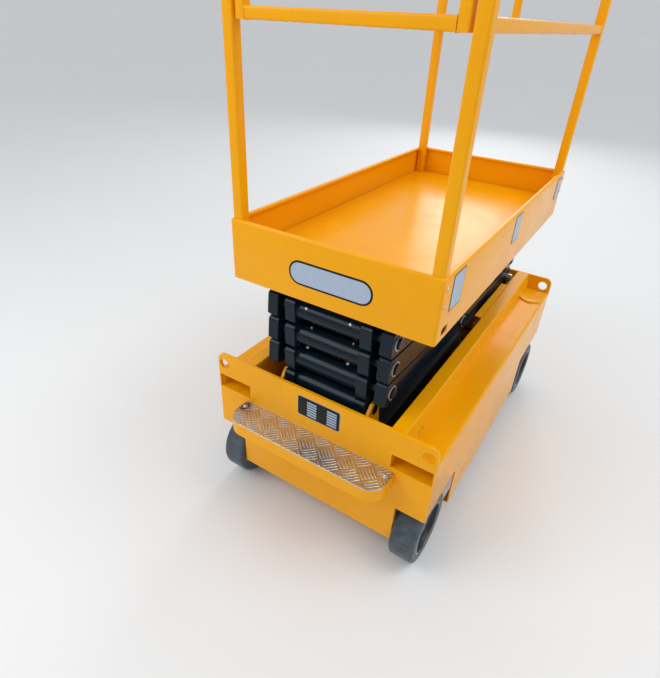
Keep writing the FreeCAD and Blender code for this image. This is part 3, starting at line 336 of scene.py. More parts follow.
def non_marking_rubber(name):
    """Grey solid rubber: matt, with darker scrub marks along the tread."""
    made, tree, shader, place = new_material(name)
    colours = bpy.context.scene.scissor_lift_colours
    # Scrub marks are long across the width and about 7 mm apart round the tread
    stretched = add_node(tree, "ShaderNodeMapping", None, {"Vector": place, "Scale": (1.0, 0.25, 1.0)})
    scrub = add_node(tree, NOISE, None, {
        "Vector": stretched, "Scale": per_mm(7), "Detail": 4.0, "Roughness": 0.65})
    patch = add_node(tree, NOISE, None, {"Vector": place, "Scale": per_mm(45), "Detail": 3.0})
    both = add_node(tree, MATH, TIMES, {0: scrub, 1: patch})
    share = add_node(tree, RANGE, None, {"Value": both, "From Min": 0.14, "From Max": 0.38})
    tint = add_node(tree, MIX, COLOUR, {0: share, 6: colours.tyre[:], 7: colours.tyre_scrubbed[:]})
    bump = add_node(tree, BUMP, None, {"Strength": 0.25, "Distance": 0.6 * MM, "Height": scrub})
    wire(tree, shader, {"Base Color": tint.outputs[2], "Roughness": 0.72, "Normal": bump,
                        "Sheen Weight": 0.15, "Sheen Roughness": 0.5})
    return made


def moulded_plastic(name, dark, light):
    """Injection-moulded polyamide with a fine spark-eroded grain."""
    made, tree, shader, place = new_material(name)
    grain = add_node(tree, NOISE, None, {"Vector": place, "Scale": per_mm(1.6), "Detail": 2.0})
    wear = add_node(tree, NOISE, None, {"Vector": place, "Scale": per_mm(40), "Detail": 4.0})
    tint = add_node(tree, MIX, COLOUR, {0: wear, 6: linear(dark), 7: linear(light)})
    bump = add_node(tree, BUMP, None, {"Strength": 0.2, "Distance": 0.2 * MM, "Height": grain})
    wire(tree, shader, {"Base Color": tint.outputs[2], "Roughness": 0.5, "Normal": bump})
    return made


def moulded_black_plastic(name):
    return moulded_plastic(name, "15171A", "26292C")


def moulded_red_plastic(name):
    return moulded_plastic(name, "A01712", "B8241C")


def studio_floor(name):
    """Pale painted floor, nearly even."""
    made, tree, shader, place = new_material(name)
    clean = bpy.context.scene.scissor_lift_colours.floor[:]
    dull = [channel * 0.97 for channel in clean[:3]] + [1.0]
    mottle = add_node(tree, NOISE, None, {"Vector": place, "Scale": per_mm(900), "Detail": 2.0})
    tint = add_node(tree, MIX, COLOUR, {0: mottle, 6: clean, 7: dull})
    wire(tree, shader, {"Base Color": tint.outputs[2], "Roughness": 0.75, "Specular IOR Level": 0.3})
    return made


# Finishes with the record's slot that each belongs to
YELLOW = (powder_coat_yellow, "orange_yellow_paint")
BLACK = (black_gloss_enamel, "black_gloss_paint")
DARK = (satin_dark_paint, "dark_grey_metal")
ZINC = (bright_zinc, "zinc_steel")
CHROME = (hard_chrome, "chromed_rod")
TREAD = (rolled_tread_aluminium, "checker_aluminium")
RUBBER = (non_marking_rubber, "grey_tyre")
HUB = (hub_enamel, "dark_hub_metal")
BLACK_PLASTIC = (moulded_black_plastic, "dark_plastic")
RED_PLASTIC = (moulded_red_plastic, "dark_plastic")
PALE_FILM = (pale_vinyl, "orange_yellow_paint")
BLACK_FILM = (black_vinyl, "orange_yellow_paint")


# Mesh helpers


def rounded(corners, steps=ARC_STEPS):
    """Closed outline through (u, v, corner radius) rows, each round corner an arc."""
    points = []
    for i, (u, v, radius) in enumerate(corners):
        here = Vector((u, v))
        if radius <= 0:
            points.append(here)
            continue
        back = (Vector(corners[i - 1][:2]) - here).normalized()
        on = (Vector(corners[(i + 1) % len(corners)][:2]) - here).normalized()
        half = back.angle(on) / 2
        centre = here + (back + on).normalized() * (radius / math.sin(half))
        start = here + back * (radius / math.tan(half)) - centre
        end = here + on * (radius / math.tan(half)) - centre
        first = math.atan2(start.y, start.x)
        turn = (math.atan2(end.y, end.x) - first + math.pi) % (2 * math.pi) - math.pi
        for k in range(steps + 1):
            angle = first + turn * k / steps
            points.append(centre + Vector((math.cos(angle), math.sin(angle))) * radius)
    return points


def rectangle(u0, u1, v0, v1, radius=0.0):
    return [(u0, v0, radius), (u1, v0, radius), (u1, v1, radius), (u0, v1, radius)]


def bridge(shape, rings, closed):
    """Quads between rings of vertices, which have one vertex each at a pole."""
    pairs = list(zip(rings[:-1], rings[1:])) + ([(rings[-1], rings[0])] if closed else [])
    for low, high in pairs:
        for i in range(max(len(low), len(high))):
            j = i + 1
            corners = [low[i % len(low)], low[j % len(low)], high[j % len(high)], high[i % len(high)]]
            unique = list(dict.fromkeys(corners))
            if len(unique) > 2:
                shape.faces.new(unique)


def prism(shape, outline, plane, low, high):
    """Closed plate: a flat outline laid in a plane, thick from low to high across it."""
    floor = [shape.verts.new(plane @ Vector((u, v, low))) for u, v in outline]
    roof = [shape.verts.new(plane @ Vector((u, v, high))) for u, v in outline]
    shape.faces.new(floor)
    shape.faces.new(roof)
    bridge(shape, [floor, roof], closed=False)


def lathe(shape, profile, place, segments, closed):
    """Surface turned about the local Z axis: profile rows are (along the axis, radius)."""
    rings = []
    for along, radius in profile:
        if radius < MERGE_DISTANCE:
            rings.append([shape.verts.new(place @ Vector((0, 0, along)))])
            continue
        turns = [2 * math.pi * i / segments for i in range(segments)]
        rings.append([shape.verts.new(place @ Vector((radius * math.cos(a), radius * math.sin(a), along)))
                      for a in turns])
    bridge(shape, rings, closed)


def turn_mm(shape, profile, segments, closed=False, place=IN_XY):
    """Surface turned about the local Z axis from a profile in millimetres."""
    lathe(shape, [(along * MM, radius * MM) for along, radius in profile], place, segments, closed)


def new_piece(name, shape):
    """An object from a bmesh, with its faces outwards."""
    bmesh.ops.recalc_face_normals(shape, faces=shape.faces)
    mesh = bpy.data.meshes.new(name)
    shape.to_mesh(mesh)
    shape.free()
    piece = bpy.data.objects.new(name, mesh)
    bpy.context.scene.collection.objects.link(piece)
    return piece


def baked(piece):
    """Turns a piece's modifiers into its plain mesh."""
    evaluated = piece.evaluated_get(bpy.context.evaluated_depsgraph_get())
    mesh = bpy.data.meshes.new_from_object(evaluated)
    piece.modifiers.clear()
    plain = piece.data
    piece.data = mesh
    bpy.data.meshes.remove(plain)
    mesh.name = piece.name
    return piece


def smooth(piece):
    """Round faces shaded round, with edges kept crisp."""
    piece.data.polygons.foreach_set("use_smooth", [True] * len(piece.data.polygons))
    piece.data.set_sharp_from_angle(angle=EDGE_ANGLE)
    return piece


def soften(piece, width, segments=2):
    """Rounds a piece's edges, as bent sheet and ground steel have them."""
    smooth(piece)
    edge = piece.modifiers.new("edge", "BEVEL")
    edge.width = width
    edge.segments = segments
    edge.limit_method = "ANGLE"
    edge.angle_limit = EDGE_ANGLE
    edge.use_clamp_overlap = False
    edge.harden_normals = True
    return baked(piece)


def evened(piece):
    """Shades bent sheet so that its flats stay flat beside their round bends."""
    smooth(piece)
    even = piece.modifiers.new("even", "WEIGHTED_NORMAL")
    even.keep_sharp = True
    return baked(piece)


def solid_of(node, join_flats=True):
    """A bmesh of a CAD node: doubles merged, flat triangles joined, and closed inner walls left out."""
    shape = bmesh.new()
    shape.from_mesh(frame["nodes"][node].data)
    bmesh.ops.remove_doubles(shape, verts=shape.verts, dist=MERGE_DISTANCE)
    left = set(shape.faces)
    while left:
        island, edge_of_search = [], [left.pop()]
        while edge_of_search:
            face = edge_of_search.pop()
            island.append(face)
            for neighbour in {other for edge in face.edges for other in edge.link_faces} & left:
                left.discard(neighbour)
                edge_of_search.append(neighbour)
        volume = sum(face.verts[0].co.dot(face.verts[1].co.cross(face.verts[2].co)) for face in island)
        if volume < 0:
            bmesh.ops.delete(shape, geom=island, context="FACES")
    if join_flats:
        bmesh.ops.dissolve_limit(shape, angle_limit=FLAT_ANGLE, verts=shape.verts, edges=shape.edges)
    return shape


def dress(piece, finish_and_slot, body, *nodes):
    """Gives a made piece its finish and its body, and hides the nodes that it stands in for."""
    maker, slot = finish_and_slot
    piece.data.materials.clear()
    piece.data.materials.append(finish(maker))
    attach(piece, body)
    if nodes:
        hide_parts(*nodes)
    return piece


def dress_shape(name, shape, finish_and_slot, body, *nodes):
    """A dressed piece from a bmesh, its round faces shaded round."""
    return dress(smooth(new_piece(name, shape)), finish_and_slot, body, *nodes)


# Settings


class ScissorLiftColours(bpy.types.PropertyGroup):
    """Colours that an owner may change."""

    frame_paint: bpy.props.FloatVectorProperty(
        name="Frame paint", description="Powder coat of chassis and platform",
        subtype="COLOR", size=4, min=0, max=1, default=linear("F5A903"))
    frame_paint_deep: bpy.props.FloatVectorProperty(
        name="Frame paint, deep", description="Deeper tone in the powder coat's faint clouds",
        subtype="COLOR", size=4, min=0, max=1, default=linear("ED9F02"))
    scissor_paint: bpy.props.FloatVectorProperty(
        name="Scissor paint", description="Enamel of the scissor arms",
        subtype="COLOR", size=4, min=0, max=1, default=linear("0A1B27"))
    tyre: bpy.props.FloatVectorProperty(
        name="Tyre", description="Clean non-marking rubber",
        subtype="COLOR", size=4, min=0, max=1, default=linear("4D5A63"))
    tyre_scrubbed: bpy.props.FloatVectorProperty(
        name="Tyre, scrubbed", description="Rubber where the tread has rubbed on the ground",
        subtype="COLOR", size=4, min=0, max=1, default=linear("2E3840"))
    floor: bpy.props.FloatVectorProperty(
        name="Floor", description="Studio floor",
        subtype="COLOR", size=4, min=0, max=1, default=linear("E9EAEA"))


class ScissorLiftSizes(bpy.types.PropertyGroup):
    """Sizes of the small forms that dress the machine."""

    sheet_bend: bpy.props.FloatProperty(
        name="Sheet bend", description="Outside radius of the platform's folded edges",
        unit="LENGTH", subtype="DISTANCE", min=0.0035, default=6 * MM)
    tray_corner: bpy.props.FloatProperty(
        name="Tray corner", description="Radius of the platform's upright corners",
        unit="LENGTH", subtype="DISTANCE", min=0.001, default=8 * MM)
    arm_edge: bpy.props.FloatProperty(
        name="Arm edge", description="Rounding of the scissor arms' edges",
        unit="LENGTH", subtype="DISTANCE", min=0.0005, default=2.6 * MM)
    tube_corner: bpy.props.FloatProperty(
        name="Tube corner", description="Corner radius of the guardrail's square tube",
        unit="LENGTH", subtype="DISTANCE", min=0.001, default=5 * MM)
    tread_tile: bpy.props.FloatProperty(
        name="Tread tile", description="Distance between like groups of bars on the step",
        unit="LENGTH", subtype="DISTANCE", min=0.02, default=67 * MM)
    tread_bar_length: bpy.props.FloatProperty(
        name="Tread bar length", description="Length of one raised bar",
        unit="LENGTH", subtype="DISTANCE", min=0.005, default=42 * MM)
    tread_bar_width: bpy.props.FloatProperty(
        name="Tread bar width", description="Width of one raised bar",
        unit="LENGTH", subtype="DISTANCE", min=0.001, default=5.5 * MM)
    tread_bar_height: bpy.props.FloatProperty(
        name="Tread bar height", description="Height of one raised bar above the sheet",
        unit="LENGTH", subtype="DISTANCE", min=0.0002, default=1.6 * MM)
    tread_bar_pitch: bpy.props.FloatProperty(
        name="Tread bar pitch", description="Distance between bars of one group",
        unit="LENGTH", subtype="DISTANCE", min=0.002, default=9.4 * MM)
    wheel_bolts: bpy.props.IntProperty(
        name="Wheel bolts", description="Bolts round each wheel's centre", min=3, max=12, default=5)
    tyre_shoulder: bpy.props.FloatProperty(
        name="Tyre shoulder", description="Radius between tread and side of the tyre",
        unit="LENGTH", subtype="DISTANCE", min=0.001, default=11 * MM)
    floor_size: bpy.props.FloatProperty(
        name="Floor size", description="Side of the square studio floor",
        unit="LENGTH", subtype="DISTANCE", min=4, default=400)


# Geometry Nodes trees


def new_geometry_tree(name, sizes):
    """A Geometry Nodes tree with a mesh input and named inputs; gives it with its input sockets."""
    tree = bpy.data.node_groups.new(name, "GeometryNodeTree")
    tree.interface.new_socket("Geometry", in_out="INPUT", socket_type="NodeSocketGeometry")
    for label, kind in sizes.items():
        tree.interface.new_socket(label, in_out="INPUT", socket_type=kind)
    tree.interface.new_socket("Geometry", in_out="OUTPUT", socket_type="NodeSocketGeometry")
    return tree, add_node(tree, "NodeGroupInput").outputs


def end_geometry_tree(tree, geometry, material):
    """Closes a tree: instances made real, material set, result out."""
    real = add_node(tree, "GeometryNodeRealizeInstances", None, {"Geometry": geometry})
    painted = add_node(tree, "GeometryNodeSetMaterial", None, {"Geometry": real, "Material": material})
    add_node(tree, "NodeGroupOutput", None, {"Geometry": painted})


def fastener_tree():
    """Sets one fastener on every point, turned to face out and twisted at random about its own axis."""
    name = "fasteners_on_places"
    if name in bpy.data.node_groups:
        return bpy.data.node_groups[name]
    tree, inputs = new_geometry_tree(name, {
        "Fastener": "NodeSocketObject", "Twist": "NodeSocketFloat", "Seed": "NodeSocketInt",
        "Material": "NodeSocketMaterial"})
    facing = add_node(tree, "GeometryNodeInputNamedAttribute", {"data_type": "FLOAT_VECTOR"}, {"Name": "facing"})
    size = add_node(tree, "GeometryNodeInputNamedAttribute", {"data_type": "FLOAT"}, {"Name": "size"})
    upright = add_node(tree, "FunctionNodeAlignRotationToVector", {"axis": "Z"}, {"Vector": facing})
    chance = add_node(tree, "FunctionNodeRandomValue", {"data_type": "FLOAT"}, {
        3: inputs["Twist"], "Seed": inputs["Seed"]})
    twist = add_node(tree, "FunctionNodeAxisAngleToRotation", None, {
        "Axis": (0, 0, 1), "Angle": chance.outputs[1]})
    turned = add_node(tree, "FunctionNodeRotateRotation", {"rotation_space": "LOCAL"}, {
        "Rotation": upright, "Rotate By": twist})
    shape = add_node(tree, "GeometryNodeObjectInfo", None, {"Object": inputs["Fastener"]})
    placed = add_node(tree, TO_POINTS, None, {
        "Points": inputs["Geometry"], "Instance": shape.outputs["Geometry"], "Rotation": turned,
        "Scale": size})
    end_geometry_tree(tree, placed, inputs["Material"])
    return tree


def weld_tree():
    """Lays a rippled weld bead along every loop of edges."""
    name = "weld_bead_on_loops"
    if name in bpy.data.node_groups:
        return bpy.data.node_groups[name]
    tree, inputs = new_geometry_tree(name, {
        "Bead Radius": "NodeSocketFloat", "Ripple Length": "NodeSocketFloat", "Unevenness": "NodeSocketFloat",
        "Seed": "NodeSocketFloat", "Material": "NodeSocketMaterial"})
    loops = add_node(tree, "GeometryNodeMeshToCurve", None, {"Mesh": inputs["Geometry"]})
    even = add_node(tree, "GeometryNodeResampleCurve", {"mode": "LENGTH"}, {
        "Curve": loops, "Length": inputs["Ripple Length"]})
    ripple = add_node(tree, NOISE, {"noise_dimensions": "4D"}, {
        "W": inputs["Seed"], "Scale": per_mm(3), "Detail": 0.0})
    share = add_node(tree, RANGE, None, {
        "Value": ripple, "From Min": 0.3, "From Max": 0.7, "To Min": 1.0, "To Max": inputs["Unevenness"]})
    thick = add_node(tree, MATH, TIMES, {0: inputs["Bead Radius"], 1: share})
    sized = add_node(tree, "GeometryNodeSetCurveRadius", None, {"Curve": even, "Radius": thick})
    section = add_node(tree, "GeometryNodeCurvePrimitiveCircle", {"mode": "RADIUS"}, {
        "Resolution": 8, "Radius": 1.0})
    bead = add_node(tree, "GeometryNodeCurveToMesh", None, {
        "Curve": sized, "Profile Curve": section, "Scale": thick})
    end_geometry_tree(tree, bead, inputs["Material"])
    return tree


def tread_tree():
    """Five-bar tread: groups of five bars, alternately turned, cut to the outline of the input mesh."""
    name = "five_bar_tread"
    if name in bpy.data.node_groups:
        return bpy.data.node_groups[name]
    tree, inputs = new_geometry_tree(name, {
        "Centre": "NodeSocketVector", "Tile": "NodeSocketFloat", "Columns": "NodeSocketInt",
        "Rows": "NodeSocketInt",
        "Bar Pitch": "NodeSocketFloat", "Bar Size": "NodeSocketVector", "Material": "NodeSocketMaterial"})
    ball = add_node(tree, "GeometryNodeMeshUVSphere", None, {"Segments": 14, "Rings": 8, "Radius": 0.5})
    bar = add_node(tree, "GeometryNodeTransform", None, {"Geometry": ball, "Scale": inputs["Bar Size"]})
    step = add_node(tree, "ShaderNodeCombineXYZ", None, {"Y": inputs["Bar Pitch"]})
    first = add_node(tree, "ShaderNodeVectorMath", {"operation": "SCALE"}, {0: step, "Scale": -2.0})
    line = add_node(tree, "GeometryNodeMeshLine", {"mode": "OFFSET"}, {
        "Count": 5, "Start Location": first, "Offset": step})
    group = add_node(tree, TO_POINTS, None, {"Points": line, "Instance": bar})
    columns_less = add_node(tree, MATH, {"operation": "SUBTRACT"}, {0: inputs["Columns"], 1: 1.0})
    rows_less = add_node(tree, MATH, {"operation": "SUBTRACT"}, {0: inputs["Rows"], 1: 1.0})
    width = add_node(tree, MATH, TIMES, {0: columns_less, 1: inputs["Tile"]})
    depth = add_node(tree, MATH, TIMES, {0: rows_less, 1: inputs["Tile"]})
    half_tile = add_node(tree, MATH, TIMES, {0: inputs["Tile"], 1: 0.5})
    shift = add_node(tree, "ShaderNodeCombineXYZ", None, {"X": half_tile, "Y": half_tile})
    both = add_node(tree, "GeometryNodeJoinGeometry")
    for angle, offset in ((-45, None), (45, shift.outputs[0])):
        grid = add_node(tree, "GeometryNodeMeshGrid", None, {
            "Size X": depth, "Size Y": width, "Vertices X": inputs["Rows"],
            "Vertices Y": inputs["Columns"]})
        moved = add_node(tree, "GeometryNodeTransform", None, {"Geometry": grid})
        if offset is not None:
            tree.links.new(offset, moved.inputs["Translation"])
        groups = add_node(tree, TO_POINTS, None, {
            "Points": moved, "Instance": group, "Rotation": (0, 0, math.radians(angle))})
        tree.links.new(groups.outputs[0], both.inputs[0])
    there = add_node(tree, "GeometryNodeTransform", None, {
        "Geometry": both, "Translation": inputs["Centre"]})
    real = add_node(tree, "GeometryNodeRealizeInstances", None, {"Geometry": there})
    cut = add_node(tree, "GeometryNodeMeshBoolean", {"operation": "INTERSECT", "solver": "EXACT"})
    tree.links.new(real.outputs[0], cut.inputs["Mesh 2"])
    tree.links.new(inputs["Geometry"], cut.inputs["Mesh 2"])
    end_geometry_tree(tree, cut, inputs["Material"])
    return tree


def grow(piece, tree, values):
    """Runs a Geometry Nodes tree on a piece with its named inputs set, and keeps the plain mesh."""
    modifier = piece.modifiers.new(tree.name, "NODES")
    modifier.node_group = tree
    for item in tree.interface.items_tree:
        if item.in_out == "INPUT" and item.name in values:
            modifier[item.identifier] = values[item.name]
    return smooth(baked(piece))


def new_points(name, places):
    """A mesh of loose points with the way that each faces and its size: rows are (place, facing, size)."""
    mesh = bpy.data.meshes.new(name)
    mesh.from_pydata([place for place, _, _ in places], [], [])
    mesh.attributes.new("facing", "FLOAT_VECTOR", "POINT")
    mesh.attributes.new("size", "FLOAT", "POINT")
    for i, (_, way, scale) in enumerate(places):
        mesh.attributes["facing"].data[i].vector = way
        mesh.attributes["size"].data[i].value = scale
    piece = bpy.data.objects.new(name, mesh)
    bpy.context.scene.collection.objects.link(piece)
    return piece


def fasten(name, maker, places, finish_and_slot, body, seed=1, twist=math.pi):
    """Sets a fastener, drawn once by its maker function, on every place."""
    pattern = smooth(new_piece("pattern", maker()))
    piece = grow(new_points(name, places), fastener_tree(), {
        "Fastener": pattern, "Twist": twist, "Seed": seed, "Material": finish(finish_and_slot[0])})
    bpy.data.objects.remove(pattern)
    return dress(piece, finish_and_slot, body)


def weld(name, loops, finish_and_slot, body, radius=2.2 * MM, seed=1.0):
    """Weld beads along closed loops of points."""
    mesh = bpy.data.meshes.new(name)
    points, edges = [], []
    for loop in loops:
        start, count = len(points), len(loop)
        points += loop
        edges += [(start + i, start + (i + 1) % count) for i in range(count)]
    mesh.from_pydata(points, edges, [])
    piece = bpy.data.objects.new(name, mesh)
    bpy.context.scene.collection.objects.link(piece)
    grow(piece, weld_tree(), {
        "Bead Radius": radius, "Ripple Length": 1.6 * MM, "Unevenness": 0.55, "Seed": seed,
        "Material": finish(finish_and_slot[0])})
    return dress(piece, finish_and_slot, body)


def circle_y(x, y, z, radius, count=48):
    """Loop of points round an axis along Y."""
    turns = [2 * math.pi * i / count for i in range(count)]
    return [(x + radius * math.cos(a), y, z + radius * math.sin(a)) for a in turns]


def square_loop(plane, place, size, corner):
    """Loop of points round a square tube."""
    half = size / 2
    return [tuple(place + plane.to_3x3() @ Vector((u, v, 0)))
            for u, v in rounded(rectangle(-half, half, -half, half, corner))]


# Fastener patterns, drawn along +Z from the surface that they sit on


def hex_bolt():
    """Hexagon bolt on a washer, 8 mm thread."""
    shape = bmesh.new()
    washer = [(0, 0), (0, 8.2), (1.3, 8.2), (1.6, 7.8), (1.6, 0)]
    turn_mm(shape, washer, 20)
    head = [(1.6, 0), (1.6, 6.6), (5.9, 6.6), (6.9, 5.6), (6.9, 0)]
    turn_mm(shape, head, 6)
    return shape


def dome_bolt():
    """Domed coach-bolt head on a thin washer."""
    shape = bmesh.new()
    washer = [(0, 0), (0, 9.0), (1.2, 9.0), (1.2, 0)]
    turn_mm(shape, washer, 20)
    arc = [math.radians(degrees) for degrees in (20, 40, 60, 78)]
    dome = [(1.2, 0.0), (1.2, 6.8)] + [(1.2 + 3.6 * math.sin(a), 6.8 * math.cos(a)) for a in arc] + [(4.8, 0.0)]
    turn_mm(shape, dome, 20)
    return shape


def stop_knob():
    """Mushroom-headed stop knob on its collar."""
    shape = bmesh.new()
    knob = [(0, 0), (0, 15), (4, 15), (5, 10), (10, 10), (12, 17), (15, 19), (18, 18), (20.5, 14),
            (21.5, 7), (21.8, 0)]
    turn_mm(shape, knob, 36)
    return shape


def push_button():
    """Round button in its bezel."""
    shape = bmesh.new()
    button = [(0, 0), (0, 9.5), (2.2, 9.5), (3.0, 8.6), (3.0, 7.4), (2.0, 7.2), (2.0, 6.6), (4.6, 6.4),
              (5.2, 5.6), (5.4, 0)]
    turn_mm(shape, button, 28)
    return shape


def nipple():
    """Grease nipple: hexagon foot and round nose."""
    shape = bmesh.new()
    foot = [(0, 0), (0, 3.6), (2.0, 3.6), (2.6, 2.2), (3.0, 2.2), (3.6, 2.6), (4.4, 2.2), (4.8, 1.0), (4.8, 0)]
    turn_mm(shape, foot, 12)
    return shape


def pin_end():
    """End of a scissor pin: a thin bright zinc band, a painted highlight for the light that the boss's chamfer
    catches, then a shadow gap and the flat bright pin, about 5 mm proud.
    """
    shape = bmesh.new()
    # Painted highlight: this bright zinc band stands in for the lit chamfer of the black pin boss
    highlight_ring = [(0, 18.4), (0, 21.6), (2.2, 21.6), (2.8, 21.0), (2.8, 18.9), (2.3, 18.4)]
    turn_mm(shape, highlight_ring, 40, closed=True)
    core = [(0, 0), (0, 13.4), (4.4, 13.4), (5.4, 12.4), (5.4, 0)]
    turn_mm(shape, core, 40)
    return shape


# Operators


class SCISSORLIFT_OT_stage(bpy.types.Operator):
    """Pale floor, soft studio light and the camera at the photograph's angle"""

    bl_idname = "scissor_lift.stage"
    bl_label = "Stage"

    def execute(self, context):
        half = context.scene.scissor_lift_sizes.floor_size / 2
        shape = bmesh.new()
        corners = [shape.verts.new((x * half, y * half, 0)) for x, y in ((-1, -1), (1, -1), (1, 1), (-1, 1))]
        shape.faces.new(corners)
        floor = new_piece("studio_floor", shape)
        floor.data.materials.append(finish(studio_floor))
        self.add_light(context)
        self.add_camera(context)
        return {"FINISHED"}

    def add_light(self, context):
        world = bpy.data.worlds.new("pale_room")
        context.scene.world = world
        world.use_nodes = True
        tree = world.node_tree
        place = add_node(tree, "ShaderNodeTexCoord").outputs["Generated"]
        height = add_node(tree, "ShaderNodeSeparateXYZ", None, {0: place})
        strength = add_node(tree, RANGE, {"interpolation_type": "SMOOTHSTEP"}, {
            "Value": height.outputs[2], "From Min": 0.0, "From Max": 0.5, "To Min": HORIZON_STRENGTH,
            "To Max": OVERHEAD_STRENGTH})
        wire(tree, tree.nodes["Background"], {"Color": linear(ROOM_COLOUR), "Strength": strength})
        for name, place, size, power in SOFT_LIGHTS:
            lamp = bpy.data.lights.new(name, "AREA")
            lamp.shape = "RECTANGLE"
            lamp.size, lamp.size_y = size
            lamp.energy = power
            holder = bpy.data.objects.new(name, lamp)
            context.scene.collection.objects.link(holder)
            holder.location = place
            holder.rotation_euler = (LIGHT_AIM - Vector(place)).to_track_quat("-Z", "Y").to_euler()

    def add_camera(self, context):
        heading, down, roll = (math.radians(a) for a in CAMERA_TURN)
        ahead = Vector((math.cos(down) * math.cos(heading), math.cos(down) * math.sin(heading), -math.sin(down)))
        level = Vector((math.sin(heading), -math.cos(heading), 0))
        right = level * math.cos(roll) + level.cross(ahead) * math.sin(roll)
        up = right.cross(ahead)
        camera = bpy.data.cameras.new("camera")
        camera.sensor_width = SENSOR
        camera.lens = CAMERA_FOCUS_PX * SENSOR / PHOTO_SIDE_PX
        camera.clip_end = CLIP_END
        holder = bpy.data.objects.new("camera", camera)
        context.scene.collection.objects.link(holder)
        turn = Matrix((right, up, -ahead)).transposed().to_4x4()
        holder.matrix_world = Matrix.Translation(CAMERA_PLACE) @ turn
        context.scene.camera = holder


def dress_node(node, width, finish_and_slot):
    """Stands a painted copy in for a CAD node, with its edges rounded by that many millimetres, or left if 0."""
    piece = new_piece(f"{node}_finished", solid_of(node, join_flats=width > 0))
    piece = soften(piece, width * MM) if width > 0 else evened(piece)
    return dress(piece, finish_and_slot, BODY_OF[node], node)


class SCISSORLIFT_OT_chassis(bpy.types.Operator):
    """End panels, side beams, fork pockets, belly tray and what is bolted inside them"""

    bl_idname = "scissor_lift.chassis"
    bl_label = "Chassis"

    def execute(self, context):
        # Columns: node, edge radius in mm, finish and slot
        rows = [
            ("rear_end_panel", 1.6, YELLOW), ("front_end_panel", 1.6, YELLOW),
            ("side_beam_left", 0, YELLOW), ("side_beam_right", 0, YELLOW), ("fork_tubes", 0, YELLOW),
            ("chassis_pan", 0, YELLOW), ("scissor_pivot_lugs", 1.4, YELLOW), ("roller_rails", 0, YELLOW),
            ("step_bracket", 0.8, YELLOW),
            ("power_block", 8.0, DARK), ("rear_axles", 1.0, DARK),
        ]
        for row in rows:
            dress_node(*row)
        return {"FINISHED"}


def rust_place():
    """The loose bolt at the step's left rear corner."""
    return Vector((REAR_FACE_X - 23 * MM, STEP_HIGH.y - 14 * MM, STEP_HIGH.z))


class SCISSORLIFT_OT_step(bpy.types.Operator):
    """Entry step with its five-bar tread and bolts"""

    bl_idname = "scissor_lift.step"
    bl_label = "Entry step"

    def execute(self, context):
        sizes = context.scene.scissor_lift_sizes
        dress_node("step_plate", 0.6, TREAD)
        shape = bmesh.new()
        inset = 1.2 * MM
        corner = 50 * MM - inset
        outline = [(STEP_HIGH.x, STEP_LOW.y + inset, 0), (STEP_HIGH.x, STEP_HIGH.y - inset, 0),
                   (STEP_LOW.x + inset, STEP_HIGH.y - inset, corner),
                   (STEP_LOW.x + inset, STEP_LOW.y + inset, corner)]
        prism(shape, rounded(outline), IN_XY, STEP_HIGH.z - 0.2 * MM, STEP_HIGH.z + 4 * MM)
        bars = new_piece("step_tread_bars", shape)
        length, width, height = sizes.tread_bar_length, sizes.tread_bar_width, sizes.tread_bar_height
        grow(bars, tread_tree(), {
            "Centre": Vector((STEP_LOW.x + 21 * MM, TREAD_PHASE_Y, STEP_HIGH.z)), "Tile": sizes.tread_tile,
            "Columns": 11, "Rows": 5, "Bar Pitch": sizes.tread_bar_pitch,
            "Bar Size": Vector((length, width, 2 * height)),
            "Material": finish(rolled_tread_aluminium)})
        dress(bars, TREAD, "chassis")
        left = rust_place()
        right = Vector((left.x, -left.y, left.z))
        fasten("step_bolts", hex_bolt, [(left, (0, 0, 1), 1.0), (right, (0, 0, 1), 1.0)], ZINC,
               "chassis", seed=3)
        return {"FINISHED"}


def wheel_profile(half, rim, radius, shoulder):
    """Tyre section as (along the axle, radius): flat tread, round shoulders, and a lip by the steel band."""
    corners = [(-half, rim, 0), (-half, radius, shoulder), (half, radius, shoulder), (half, rim + 3 * MM, 2 * MM),
               (half - 3 * MM, rim + 2 * MM, 0), (half - 3 * MM, rim, 0)]
    return [(u, v) for u, v in rounded(corners, steps=8)]


